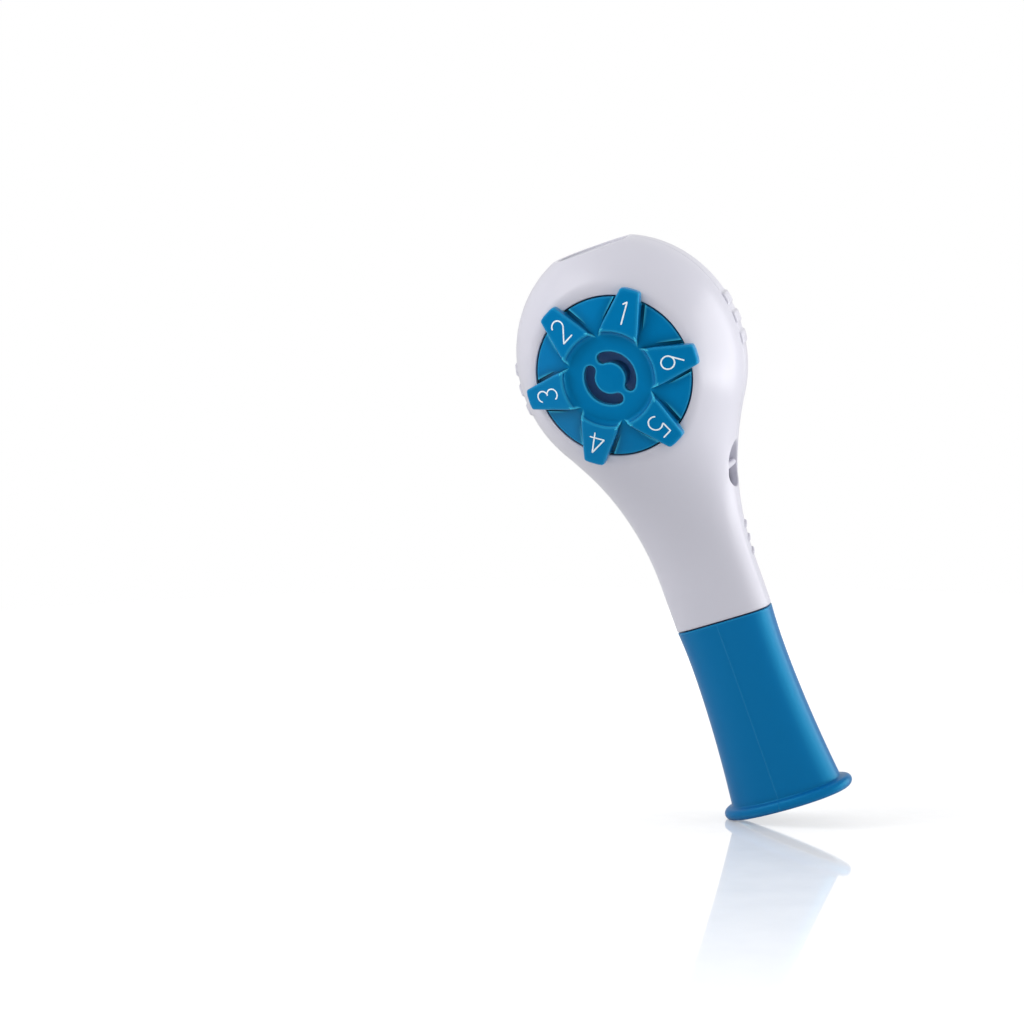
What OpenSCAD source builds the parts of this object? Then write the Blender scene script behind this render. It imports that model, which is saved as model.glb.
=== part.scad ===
/* [Overall] */
// Height of the whole trainer, standing on its mouthpiece
total_h = 148.6; // [142:0.2:156]
// Height of the line where the mouthpiece meets the housing
joint_h = 50.2; // [46:0.2:54]

/* [Head] */
// Half width of the round head, seen from the front
head_r = 28.7; // [27:0.1:31]
// Half height of the head, as a share of that half width
tall_share = 1.084; // [1.07:0.002:1.1]
// Rise of the top flat above the head's centre, as a share of that half height
crown_share = 0.932; // [0.92:0.001:0.94]
// Half depth that the head would reach without its flat dial faces, as a share of the half width
depth_share = 0.83; // [0.82:0.005:0.85]
// Half height of the head's rounded depth, seen from the side, as such a share
depth_circle_share = 1.152; // [1.14:0.002:1.17]
// Distance of each dial face from the middle plane, as such a share
face_share = 0.604; // [0.598:0.001:0.608]
// Radius of the recess that each dial turns in, as such a share
recess_share = 0.697; // [0.692:0.001:0.7]
// Drop of the dials' axis below the head's centre
dial_drop = 1.1; // [0.8:0.1:1.4]
// Squareness of the head's oval, where 2 is an ellipse
head_e = 2.15; // [2.1:0.05:2.3]
// Wall of the two housing shells
wall = 1.9; // [1.7:0.1:2.1]
// Thickness of the crown above the chamber
crown_t = 3; // [2.8:0.1:4]

/* [Neck] */
// Half width of the neck at the joint
neck_a = 12.6; // [12.2:0.1:13.4]
// Half depth of the neck at the joint
neck_b = 7.5; // [7.3:0.1:8.2]
// Squareness of the neck's oval
neck_e = 2.4; // [2.2:0.1:3]
// Straight length of the neck, from the joint to the sweep that widens to the head
neck_len = 12.4; // [11:0.1:14]
// Rise of the joint line at the front and back over its sides
joint_bow = 0.6; // [0.4:0.1:0.9]

/* [Top flat] */
// Depth of the shallow dish in the top flat
top_dish_t = 0.6; // [0.4:0.1:1]
// Width of the rim round that dish
top_rim_w = 1.2; // [0.9:0.1:1.6]

/* [Side marks] */
// Length of a grip bar along the head's side
bar_len = 3.2; // [2.6:0.1:3.6]
// Reach of a grip bar round the side from the seam
bar_reach = 8.5; // [7:0.1:9]
// Distance from one grip bar to the next
bar_pitch = 5.2; // [4.8:0.1:5.8]
// Height of the middle grip bar above the head's centre
bar_rise = 1.6; // [1:0.1:2.2]
// How far grip bars and neck ribs stand proud
raise_t = 0.5; // [0.4:0.1:0.7]
// Height of the middle rib above the joint
rib_rise = 16.8; // [15:0.1:18]
// Distance from one rib to the next
rib_pitch = 3.5; // [3.1:0.1:3.8]
// Width of a rib
rib_w = 1; // [0.8:0.1:1.2]
// Slant of the ribs from level, in degrees
rib_slant = 30; // [20:1:40]

/* [Dial seat] */
// Depth of the dial's recess below the dial face
recess_t = 5; // [4.9:0.05:5.3]
// Thickness of the recess floor
floor_t = 2; // [1.8:0.1:2.3]
// Distance of the air port from the dial axis, as a share of the recess radius
port_at_share = 0.6; // [0.595:0.005:0.605]
// Radius of the air port in the floor, as such a share
port_share = 0.135; // [0.13:0.001:0.137]
// Running gap between things that turn and things that stand still
run_gap = 0.35; // [0.25:0.05:0.4]

/* [Dial] */
// Turn of both dials' index from level, in degrees
index_turn = -2.3; // [-4:0.1:0]
// Number of settings on the inhale dial
inhale_settings = 6; // [4:1:6]
// Number of settings on the exhale dial
exhale_settings = 5; // [4:1:6]
// Height of the hub above the dial face
hub_h = 3.3; // [3:0.1:3.6]
// Radius where the sloping sectors leave the hub, as a share of the recess radius
hub_share = 0.58; // [0.56:0.005:0.59]
// Thickness of the dial's moulded top
dial_wall = 1.6; // [1.4:0.1:1.8]
// Inner radius of the tabs, as a share of the recess radius
tab_in_share = 0.59; // [0.575:0.005:0.6]
// Reach of the tabs' tips over the housing, from the recess wall
tab_reach = 2.3; // [1.8:0.1:2.6]
// Width of a tab at its inner end, as a share of the recess radius
tab_in_w_share = 0.485; // [0.46:0.005:0.5]
// Width of a tab at its tip, as such a share
tab_out_w_share = 0.265; // [0.245:0.005:0.28]
// Height of a tab's inner end above the dial face
tab_in_h = 4.9; // [4.6:0.1:5.3]
// Height of a tab's tip above the dial face
tab_out_h = 2; // [1.8:0.1:2.4]
// Radius of the hollow curve from the hub up to a tab's inner end
tab_foot_r = 1.5; // [1.2:0.1:1.55]
// Radius of the tabs' tip corners
tab_corner_r = 0.8; // [0.5:0.1:1.2]
// Inner radius of the two air slots in the hub, as a share of the recess radius
slot_in_share = 0.195; // [0.19:0.005:0.205]
// Outer radius of the two air slots, as such a share
slot_out_share = 0.31; // [0.295:0.005:0.325]
// Angle between the middles of an air slot's round ends
slot_span = 126; // [110:1:130]
// Width of the grooves beside the tabs
groove_w = 0.8; // [0.6:0.1:1]
// Depth of those grooves at the rim
groove_t = 1.3; // [1:0.1:1.5]
// Depth of a click notch in the skirt
notch_t = 0.75; // [0.6:0.05:0.8]

/* [Metering] */
// Radius of the widest metering hole, at the first setting, as a share of the port's
meter_max_share = 0.96; // [0.85:0.01:0.97]
// Radius of the narrowest metering hole, at the last setting, as such a share
meter_min_share = 0.39; // [0.33:0.01:0.48]
// Thickness of the metering disc
meter_t = 1.2; // [1:0.1:1.4]

/* [Valve] */
// Thickness of a silicone flap
flap_t = 0.6; // [0.4:0.1:0.7]
// Radius of a flap, as a share of its seat's
flap_share = 0.835; // [0.82:0.005:0.86]
// Thickness of a valve seat
seat_t = 1.2; // [1:0.1:1.4]
// Number of air holes through a valve seat
seat_holes = 4; // [3:1:4]
// Radius of each of those holes, as a share of the seat's
seat_hole_share = 0.223; // [0.18:0.001:0.23]

/* [Mouthpiece] */
// Half width of the mouthpiece's rim
rim_a = 17.2; // [16.5:0.1:18]
// Half depth of the rim
rim_b = 9.6; // [9.4:0.1:10.4]
// Height of the rim
rim_h = 2.9; // [2.6:0.1:3.2]
// Half width of the sleeve just above the rim
mouth_a = 14.7; // [14.2:0.1:15]
// Half depth of the sleeve just above the rim
mouth_b = 7.9; // [7.6:0.1:8.1]
// Wall of the soft sleeve
sleeve_wall = 1.85; // [1.7:0.05:1.85]

/* [Spigot] */
// Length of the spigot inside the mouthpiece
spigot_out_len = 22; // [18:1:23]
// Length of the spigot inside the housing
spigot_in_len = 12; // [10:1:12]
// Wall of the spigot
spigot_wall = 1.4; // [1.2:0.1:1.5]

/* [Lanyard eye] */
// Place of the eye's middle, as a share of the way from the joint up to the head's centre
eye_share = 0.527; // [0.515:0.001:0.54]
// Length of the eye along the neck
eye_len = 11; // [10:0.2:12]
// Width of the eye
eye_w = 8.2; // [7.4:0.1:8.6]
// Depth of the eye
eye_t = 4; // [3.6:0.1:4.2]
// Radius of the bar across the eye
eye_bar_r = 0.8; // [0.6:0.05:0.9]

/* [Hidden] */

// Fineness of the lofted forms and of the round ones
ring_n = 48;
head_steps = 14;
sweep_steps = 8;
$fn = 96;
small_n = 32;
foot_steps = 4;
foot_sink = 0.05;    // how deep the hollow curve starts inside the hub
bow_n = 180;

// Clearances and overruns
fit_gap = 0.05;   // between pieces that are pressed or bonded together
soft_gap = 0.08;  // between the soft sleeve and the spigot
face_gap = 0.1;   // between flat faces that slide or seal
joint_gap = 0.3;  // open line between the mouthpiece and the housing
cut = 1;          // overrun of a cut past the face that it opens

// Housing forms
head_top_r = tall_share * head_r;
head_h = total_h - crown_share * head_top_r;
dial_axis_h = head_h - dial_drop;
head_depth_r = depth_share * head_r;
depth_circle_r = depth_circle_share * head_r;
face_t = face_share * head_r;
recess_r = recess_share * head_r;
depth_squash = head_depth_r / depth_circle_r;
neck_top_h = joint_h + neck_len;
front_sweep_r = sweep_r(head_h, head_r, neck_a, tall_share);
side_sweep_r = sweep_r(dial_axis_h, depth_circle_r, neck_b / depth_squash, 1);
head_low_h = meet_h(head_h, head_r, neck_a, front_sweep_r);
chamber_top_h = total_h - crown_t;
bow_r = (pow(neck_b, 2) + pow(joint_bow, 2)) / (2 * joint_bow);
big = 2 * total_h;

// Places along the dial axis, measured out from the middle plane
seat_floor_t = face_t - recess_t;
under_floor_t = seat_floor_t - floor_t;
dial_base_t = seat_floor_t + run_gap;

// The dial's own sizes, in shares of the recess radius where they are radii
dial_edge_r = recess_r - run_gap;
hub_r = hub_share * recess_r;
tab_in_r = tab_in_share * recess_r;
tab_out_r = recess_r + tab_reach;
tab_in_w = tab_in_w_share * recess_r;
tab_out_w = tab_out_w_share * recess_r;
tab_low = 0.35;      // underside of a tab's tip, above the dial face
groove_under = 0.3;  // how far the grooves reach under the tabs
rim_land_t = 0.1;    // how far the sectors' edge lies below the dial face
slot_in_r = slot_in_share * recess_r;
slot_out_r = slot_out_share * recess_r;
slot_turn = 30;      // turn of the air slots' middles from the index
slot_step = 0.02;    // how far the slots' round ends lie inside their sides
post_share = 0.17;   // hub post under the air slots
post_r = post_share * recess_r;
journal_share = 0.15;  // running part of the post, in the floor
journal_r = journal_share * recess_r;
skirt_wall = 1.95;
skirt_in_r = dial_edge_r - skirt_wall;
skirt_t = 2.5;
notch_r = 1.1;       // radius of the click notches
notch_h = 2;         // their height from the skirt's foot, which clears the spring

// Clip and washer on the end of the post
washer_share = 0.255;
washer_r = washer_share * recess_r;
washer_t = 0.5;
clip_t = 0.8;
clip_groove_t = 0.5;
clip_groove_r = journal_r - clip_groove_t;
clip_mouth_share = 1.2;
clip_mouth_w = clip_mouth_share * clip_groove_r;
clip_lug_turn = 40;  // turn of the clip's two tool holes from its mouth
clip_eye_r = 0.5;
clip_low_t = under_floor_t - face_gap - washer_t - face_gap / 2 - clip_t;
post_tail = 0.8;
post_end_t = clip_low_t - post_tail;

// Detent spring
spring_back = 0.85;  // from the skirt in to the middle of the leaf
spring_r = skirt_in_r - spring_back;
spring_leaf_t = 0.4;
spring_h = 1.5;
spring_span = 44;
spring_nose_r = 0.5;
spring_clear = 0.2;  // the nose stands clear of the skirt between two clicks
spring_foot_r = 0.45;
spring_foot_t = 1.1;

// Metering disc, in the plenum under the dial's top
plenum_wall = 0.9;
disc_ledge = 0.5;    // step that the metering disc rests on
disc_lift = 0.5;     // of the disc above the dial's base
meter_low_t = dial_base_t + disc_lift;
plenum_r = spring_r - spring_leaf_t / 2 - run_gap - plenum_wall;
meter_disc_r = plenum_r - fit_gap;
port_at_r = port_at_share * recess_r;
port_r = port_share * recess_r;

// Port seal
seal_wall = 1.4;
seal_sink_t = 1.2;
seal_lip = 0.3;

// Valve under the port
socket_clear = 0.6;  // from the washer to the collar
socket_r = port_at_r - washer_r - socket_clear;
socket_wall = 1.1;
seat_r = socket_r - socket_wall - fit_gap;
socket_step = 0.4;
seat_drop = 1.75;    // from the floor's underside to the seat
seat_top_t = under_floor_t - seat_drop;
socket_skirt = 2.2;  // of the collar under the seat
socket_low_t = seat_top_t - seat_t - socket_skirt;
seat_hole_at_share = 0.56;
flap_r = flap_share * seat_r;
pin_share = 0.126;
pin_r = pin_share * seat_r;
pin_head_share = 0.29;
pin_head_r = pin_head_share * seat_r;
pin_snap_share = 0.214;
pin_snap_r = pin_snap_share * seat_r;
pin_head_t = 0.6;

// Posts that line the two shells up
dowel_at_share = 0.865;
dowel_at_r = dowel_at_share * head_r;
dowel_boss_r = 2.4;
dowel_r = 1.2;
dowel_len = 3;
dowel_gap = 0.07;
dowel_angle = 42;

// Side marks
bar_h = head_h + bar_rise;
rib_h = joint_h + rib_rise;
rib_reach = 2.6;

// Lanyard eye
eye_h = joint_h + eye_share * (head_h - joint_h);
eye_boss_wall = 1.3;
eye_bar_at = 2;      // middle of the bar below the neck's skin
eye_bar_seat = 1.1;  // how far each end of the bar is held

// Mouthpiece
waist_drop = 10.2;   // from the joint down to the waist
waist_h = joint_h - waist_drop;
waist_in = 0.4;      // how far the waist is drawn in at the sides
waist_a = neck_a - waist_in;
waist_in_b = 0.2;    // and at the front and back
waist_b = neck_b - waist_in_b;
flare_power = 1.8;
mouth_e = 2.2;
rim_steps = 6;
sleeve_steps = 12;
spigot_low_h = joint_h - spigot_out_len;
spigot_high_h = joint_h + spigot_in_len;
spigot_a = neck_a - wall - fit_gap;
spigot_b = neck_b - wall - fit_gap;

// Radius of the sweep from a neck of half width n to a round head of centre c and radius r,
// before both are stretched k times in height about c
function sweep_r(c, r, n, k) =
    (pow((c - neck_top_h) / k, 2) - pow(r, 2) + pow(n, 2)) / (2 * (r - n));

// Height where that sweep meets the head
function meet_h(c, r, n, f) = c - (c - neck_top_h) * r / (r + f);

// Half width at height z of such a head and sweep over a straight neck
function swept(z, c, r, n, f, k) =
    z >= meet_h(c, r, n, f) ? sqrt(max(0, pow(r, 2) - pow((z - c) / k, 2)))
    : z > neck_top_h ? n + f - sqrt(pow(f, 2) - pow((z - neck_top_h) / k, 2))
    : n;

// Half width and half depth of the housing at height z, a wall w inside its skin
function half_width(z, w) =
    swept(z, head_h, head_r - w, neck_a - w, front_sweep_r + w, tall_share);
function half_depth(z, w) =
    depth_squash * swept(z, dial_axis_h, depth_circle_r, neck_b / depth_squash, side_sweep_r, 1) - w;

// Squareness of the section at height z: the neck's, easing to the head's
function squareness(z) =
    let (s = max(0, min(1, (z - neck_top_h) / (head_low_h - neck_top_h))))
    neck_e + (head_e - neck_e) * s * s * (3 - 2 * s);

// A ring of points round an oval of half axes a and b and squareness e, at height z
function oval(a, b, e, z) = [for (i = [0:ring_n - 1])
    let (c = cos(360 * i / ring_n), s = sin(360 * i / ring_n))
    [a * sign(c) * pow(abs(c), 2 / e), b * sign(s) * pow(abs(s), 2 / e), z]];

// Heights of the housing's rings, from low up to top, where the head has half height r
function ring_heights(low, top, r) =
    let (from = asin((head_low_h - head_h) / r), to = asin((top - head_h) / r))
    concat([low],
        [for (i = [0:sweep_steps - 1]) neck_top_h + (head_low_h - neck_top_h) * i / sweep_steps],
        [for (i = [0:head_steps]) head_h + r * sin(from + (to - from) * i / head_steps)]);

// A closed solid through rings of points that lie one above the other
module loft(rings) {
    n = len(rings[0]);
    last = (len(rings) - 1) * n;
    sides = [for (i = [0:len(rings) - 2], j = [0:n - 1])
        let (a = i * n + j, b = i * n + (j + 1) % n) each [[a, b + n, b], [a, a + n, b + n]]];
    caps = [[for (j = [0:n - 1]) j], [for (j = [n - 1:-1:0]) last + j]];
    polyhedron([for (ring = rings) each ring], concat(sides, caps));
}

// The housing's outer skin, and the chamber a wall inside it
module skin() {
    loft([for (z = ring_heights(joint_h, total_h, head_top_r))
        oval(half_width(z, 0), half_depth(z, 0), squareness(z), z)]);
}

module chamber() {
    intersection() {
        loft([for (z = ring_heights(joint_h - cut, chamber_top_h, head_top_r - tall_share * wall))
            oval(half_width(z, wall), half_depth(z, wall), squareness(z), z)]);
        translate([0, 0, total_h / 2])
            cube([big, 2 * under_floor_t, big], center = true);
    }
}

// Lays what is drawn along +Z out along the dial axis, at the front or turned to the back
module at_dial(rear) {
    translate([0, 0, dial_axis_h]) rotate([0, 0, rear ? 180 : 0]) rotate([90, 0, 0]) children();
}

// The same, with +X turned to the index
module at_index(rear) {
    at_dial(rear) rotate(index_turn) children();
}

// The bowed face where the mouthpiece ends and the housing starts
module joint_face(drop) {
    translate([0, 0, joint_h + bow_r - drop]) rotate([0, 90, 0])
        cylinder(r = bow_r, h = big, center = true, $fn = bow_n);
}

// One pocket for the lanyard, and the boss that closes it off from the chamber
module eye_form(extra, deep) {
    x = half_width(eye_h, 0);
    len = eye_len + 2 * extra;
    w = eye_w + 2 * extra;
    translate([x - deep, 0, eye_h]) rotate([90, 0, 90]) linear_extrude(deep + cut) {
        square([w, len - w], center = true);
        for (s = [-1, 1]) translate([0, s * (len - w) / 2]) circle(d = w);
    }
}

// One raised rib on the neck's side, from the seam round
module neck_rib(z) {
    translate([half_width(z, 0), 0, z]) rotate([rib_slant, 0, 0])
        translate([(raise_t - wall) / 2, rib_reach / 2, 0])
        cube([wall, rib_reach, rib_w], center = true);
}

// Three raised bars on the head's side, from the seam round
module grip_bars() {
    for (i = [-1:1]) {
        z = bar_h + i * bar_pitch;
        a = half_width(z, 0) + raise_t;
        b = half_depth(z, 0) + raise_t;
        intersection() {
            translate([0, 0, z - bar_len / 2]) linear_extrude(bar_len)
                polygon([for (p = oval(a, b, head_e, 0)) [p[0], p[1]]]);
            translate([a - wall, 0, z - bar_len]) cube([wall, bar_reach, 2 * bar_len]);
        }
    }
}

// Draws its children at the four places of the line-up posts, or at the two on one side
module at_dowels(sides) {
    for (side = sides, up = [-1, 1])
        translate([side * dowel_at_r * cos(dowel_angle), up * dowel_at_r * sin(dowel_angle), 0])
            children();
}

// The collar that holds a valve, under the port
module valve_socket() {
    translate([port_at_r, 0, socket_low_t])
        cylinder(r = socket_r, h = under_floor_t + floor_t / 2 - socket_low_t);
}

module valve_socket_bore() {
    translate([port_at_r, 0, socket_low_t - cut])
        cylinder(r = seat_r + fit_gap, h = seat_top_t - socket_low_t + cut);
    translate([port_at_r, 0, socket_low_t])
        cylinder(r = seat_r - socket_step, h = under_floor_t - socket_low_t);
}

// What is cut from a shell along its dial axis
module dial_seat_cuts() {
    translate([0, 0, seat_floor_t]) cylinder(r = recess_r, h = recess_t + cut);
    cylinder(r = journal_r + fit_gap, h = face_t);
    translate([port_at_r, 0, 0]) {
        translate([0, 0, under_floor_t - cut]) cylinder(r = port_r, h = floor_t + 2 * cut);
        translate([0, 0, seat_floor_t - seal_sink_t])
            cylinder(r = port_r + seal_wall + fit_gap, h = seal_sink_t + cut);
    }
    for (side = [-1, 1]) rotate(180 + side * spring_span / 2)
        translate([spring_r, 0, seat_floor_t - spring_foot_t])
        cylinder(r = spring_foot_r + fit_gap, h = spring_foot_t + cut, $fn = small_n);
    valve_socket_bore();
}

// The bore for the lanyard bar's two ends
module eye_bar(extra) {
    translate([half_width(eye_h, 0) - eye_bar_at, 0, eye_h]) rotate([90, 0, 0])
        cylinder(r = eye_bar_r + extra, h = eye_w + 2 * (eye_bar_seat + extra), center = true);
}

// One shell, drawn as the front one, with the lanyard eye on the side that eye_side names
module shell(eye_side) {
    difference() {
        intersection() {
            skin();
            union() {
                difference() {
                    translate([-big / 2, -face_t, 0]) cube([big, face_t, total_h]);
                    chamber();
                }
                at_index(false) valve_socket();
                at_dial(false) at_dowels([-1, 1])
                    cylinder(r = dowel_boss_r, h = under_floor_t + cut);
                on_side(eye_side) intersection() {
                    eye_form(eye_boss_wall, eye_t + eye_boss_wall);
                    translate([0, -big, 0]) cube([big, big, big]);
                }
            }
        }
        at_index(false) dial_seat_cuts();
        at_dial(false) at_dowels([-1]) translate([0, 0, -cut])
            cylinder(r = dowel_r + dowel_gap, h = dowel_len + dowel_gap + 2 * cut);
        on_side(eye_side) eye_form(0, eye_t);
        on_side(eye_side) eye_bar(fit_gap);
        top_dish();
        difference() {
            translate([-big / 2, -big / 2, joint_h - cut]) cube([big, big, cut + 2 * joint_bow]);
            joint_face(0);
        }
    }
    at_dial(false) at_dowels([1])
        translate([0, 0, -dowel_len]) cylinder(r = dowel_r, h = dowel_len + cut);
}

// Turns what is drawn on the right side to the left where side is -1
module on_side(side) {
    mirror([side < 0 ? 1 : 0, 0, 0]) children();
}

module top_dish() {
    a = half_width(total_h, 0) - top_rim_w;
    b = half_depth(total_h, 0) - top_rim_w;
    translate([0, 0, total_h - top_dish_t]) linear_extrude(top_dish_t + cut)
        polygon([for (p = oval(a, b, head_e, 0)) [p[0], p[1]]]);
}

module front_shell() {
    color("ghostwhite") {
        shell(1);
        rotate([0, 0, 180]) grip_bars();
    }
}

module rear_shell() {
    color("ghostwhite") {
        rotate([0, 0, 180]) shell(-1);
        grip_bars();
        for (i = [-1:1]) neck_rib(rib_h + i * rib_pitch);
    }
}

// The oval tube that the two shells close round and the mouthpiece is pushed on
module mouthpiece_spigot() {
    color("gainsboro") translate([0, 0, spigot_low_h]) linear_extrude(spigot_high_h - spigot_low_h)
        difference() {
            polygon([for (p = oval(spigot_a, spigot_b, neck_e, 0)) [p[0], p[1]]]);
            polygon([for (p = oval(spigot_a - spigot_wall, spigot_b - spigot_wall, neck_e, 0))
                [p[0], p[1]]]);
        }
}

// How far the sleeve has flared at height z, from none at its waist to all at its rim
function flare(z) = z > waist_h ? 0 : pow((waist_h - z) / (waist_h - rim_h), flare_power);

// How far the sleeve has widened above its waist, to meet the neck flush
function flush(z) = z < waist_h ? 0 : pow((z - waist_h) / (joint_h - waist_h), 2);
function sleeve_a(z) = waist_a + (mouth_a - waist_a) * flare(z) + (neck_a - waist_a) * flush(z);
function sleeve_b(z) = waist_b + (mouth_b - waist_b) * flare(z) + (neck_b - waist_b) * flush(z);

// The soft mouthpiece: a flared oval sleeve with a rounded rim
module mouthpiece_sleeve() {
    rim_r = rim_h / 2;
    rim_rings = [for (i = [0:rim_steps]) let (t = -90 + 180 * i / rim_steps, in = rim_r * (1 - cos(t)))
        oval(rim_a - in, rim_b - in, mouth_e, rim_r * (1 + sin(t)))];
    top = joint_h + joint_bow;
    sleeve_rings = [for (i = [0:sleeve_steps]) let (z = rim_h + (top - rim_h) * i / sleeve_steps)
        oval(sleeve_a(z), sleeve_b(z), mouth_e + (neck_e - mouth_e) * i / sleeve_steps, z)];
    bore_low = spigot_low_h - joint_gap;
    bore_rings = concat(
        [for (i = [0:sleeve_steps]) let (z = -cut + (bore_low + cut) * i / sleeve_steps)
            oval(sleeve_a(z) - sleeve_wall, sleeve_b(z) - sleeve_wall, mouth_e, z)],
        [for (z = [spigot_low_h, top + cut])
            oval(spigot_a + soft_gap, spigot_b + soft_gap, neck_e, z)]);
    color("dodgerblue") difference() {
        loft(concat(rim_rings, sleeve_rings));
        loft(bore_rings);
        joint_face(joint_gap);
    }
}

module lanyard_bar() {
    color("ghostwhite") eye_bar(0);
}

// Height of a sloping sector's surface above the dial face, at radius r
function sector_h(r) = hub_h - (hub_h + rim_land_t) * (r - hub_r) / (dial_edge_r - hub_r);

// The dial's round form: a raised hub, sloping sectors, a skirt and a post
module dial_round() {
    rotate_extrude() polygon([
        [0, post_end_t], [clip_groove_r, post_end_t],
        [journal_r, post_end_t + journal_r - clip_groove_r], [journal_r, clip_low_t - face_gap],
        [clip_groove_r, clip_low_t - face_gap], [clip_groove_r, clip_low_t + clip_t + face_gap],
        [journal_r, clip_low_t + clip_t + face_gap], [journal_r, meter_low_t + meter_t],
        [post_r, meter_low_t + meter_t], [post_r, face_t + hub_h - dial_wall],
        [hub_r - dial_wall, face_t + hub_h - dial_wall],
        [plenum_r - disc_ledge, face_t + sector_h(plenum_r - disc_ledge) - dial_wall],
        [plenum_r - disc_ledge, meter_low_t + meter_t], [plenum_r, meter_low_t + meter_t],
        [plenum_r, meter_low_t], [plenum_r + plenum_wall, meter_low_t],
        [plenum_r + plenum_wall, dial_base_t + skirt_t], [skirt_in_r, dial_base_t + skirt_t],
        [skirt_in_r, dial_base_t], [dial_edge_r, dial_base_t],
        [dial_edge_r, face_t - rim_land_t], [hub_r, face_t + hub_h], [0, face_t + hub_h]]);
}

// Half width of a tab at the distance r along it
function tab_half(r) =
    (tab_in_w + (tab_out_w - tab_in_w) * (r - tab_in_r) / (tab_out_r - tab_in_r)) / 2;

// Where the foot of a tab's hollow curve lies on the hub
tab_low_r = tab_in_r - tab_foot_r - cut;

// Outline of one tab, pointing along +X, with round tip corners
tab_outline = concat(
    [[tab_low_r, -tab_half(tab_low_r)]],
    [for (side = [-1, 1], i = [0:4]) let (a = side > 0 ? 90 * i / 4 : 90 * i / 4 - 90)
        [tab_out_r - tab_corner_r * (1 - cos(a)),
         side * (tab_out_w / 2 - tab_corner_r) + tab_corner_r * sin(a)]],
    [[tab_low_r, tab_half(tab_low_r)]]);

// One tab: its outline, under a sloping top and over an underside that clears the housing
module dial_tab() {
    intersection() {
        linear_extrude(2 * face_t) polygon(tab_outline);
        rotate_extrude() polygon(concat(
            [for (i = [0:foot_steps]) let (a = 90 * i / foot_steps)
                [tab_in_r - tab_foot_r * (1 - sin(a)),
                 face_t + hub_h - foot_sink + tab_foot_r * (1 - cos(a))]],
            [[tab_in_r, face_t + tab_in_h], [tab_out_r + cut, face_t + tab_out_h],
             [tab_out_r + cut, face_t + tab_low], [dial_edge_r - dial_wall / 2, face_t + tab_low],
             [dial_edge_r - dial_wall / 2, face_t - dial_wall / 2],
             [tab_in_r - tab_foot_r, face_t + hub_h - dial_wall / 2]]));
    }
}

// The two grooves beside a tab, which deepen from the hub to the rim
module tab_grooves() {
    len = dial_edge_r - tab_in_r + cut;
    slant = atan((tab_in_w - tab_out_w) / 2 / (tab_out_r - tab_in_r));
    wide = groove_w + groove_under;
    for (side = [-1, 1])
        translate([tab_in_r, side * (tab_in_w / 2 - groove_under), 0]) rotate(-side * slant)
            translate([0, side > 0 ? wide : 0, 0]) rotate([90, 0, 0]) linear_extrude(wide)
            polygon([[0, face_t + hub_h], [len, face_t - rim_land_t - groove_t],
                [len, face_t + hub_h + cut], [0, face_t + hub_h + cut]]);
}

// An arc slot round the axis with round ends, its middle on +X
module air_slot() {
    mid = (slot_in_r + slot_out_r) / 2;
    linear_extrude(2 * face_t) {
        intersection() {
            difference() {
                circle(r = slot_out_r);
                circle(r = slot_in_r);
            }
            polygon(concat([[0, 0]], [for (i = [-4:4]) let (a = i * slot_span / 8)
                2 * slot_out_r * [cos(a), sin(a)]]));
        }
        for (side = [-1, 1]) rotate(side * slot_span / 2)
            translate([mid, 0]) circle(d = slot_out_r - slot_in_r - 2 * slot_step);
    }
}

// A dial with its number of settings, the last one at the index on +X
module dial(settings) {
    step = 360 / settings;
    color("steelblue") difference() {
        union() {
            difference() {
                dial_round();
                for (i = [1:settings]) rotate(i * step) tab_grooves();
            }
            for (i = [1:settings]) rotate(i * step) dial_tab();
        }
        for (i = [0, 1]) rotate(slot_turn + 180 * i)
            translate([0, 0, meter_low_t + 2 * meter_t]) air_slot();
        for (i = [1:settings]) rotate(180 + i * step)
            translate([skirt_in_r + notch_t - notch_r, 0, dial_base_t - cut])
            cylinder(r = notch_r, h = notch_h + cut);
    }
}

// Radius of the metering hole of one setting
function meter_r(i, settings) =
    port_r * (meter_max_share + (meter_min_share - meter_max_share) * (i - 1) / (settings - 1));

module metering_disc(settings) {
    color("gainsboro") translate([0, 0, meter_low_t]) difference() {
        cylinder(r = meter_disc_r, h = meter_t);
        translate([0, 0, -cut]) cylinder(r = journal_r + fit_gap, h = meter_t + 2 * cut);
        for (i = [1:settings]) rotate(360 * i / settings) translate([port_at_r, 0, -cut])
            cylinder(r = meter_r(i, settings), h = meter_t + 2 * cut);
    }
}

// The open ring that is snapped into the groove of the dial's post
module dial_clip() {
    color("silver") translate([0, 0, clip_low_t]) difference() {
        cylinder(r = washer_r, h = clip_t);
        translate([0, 0, -cut]) cylinder(r = clip_groove_r + fit_gap, h = clip_t + 2 * cut);
        translate([0, -clip_mouth_w / 2, -cut]) cube([washer_r + cut, clip_mouth_w, clip_t + 2 * cut]);
        for (side = [-1, 1]) rotate(side * clip_lug_turn)
            translate([(clip_groove_r + washer_r) / 2, 0, -cut])
            cylinder(r = clip_eye_r, h = clip_t + 2 * cut, $fn = small_n);
    }
}

module dial_washer() {
    color("white") translate([0, 0, clip_low_t + clip_t + face_gap / 2]) difference() {
        cylinder(r = washer_r, h = washer_t);
        translate([0, 0, -cut]) cylinder(r = journal_r + fit_gap, h = washer_t + 2 * cut);
    }
}

// The soft ring that seals the port against the turning metering disc
module port_seal() {
    low = seat_floor_t - seal_sink_t;
    high = meter_low_t - face_gap;
    color("dimgray") translate([port_at_r, 0, 0]) rotate_extrude() polygon([
        [port_r, low], [port_r + seal_wall, low], [port_r + seal_wall, high - seal_lip],
        [port_r + seal_wall - seal_lip, high], [port_r + seal_lip, high],
        [port_r, high - seal_lip]]);
}

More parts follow.
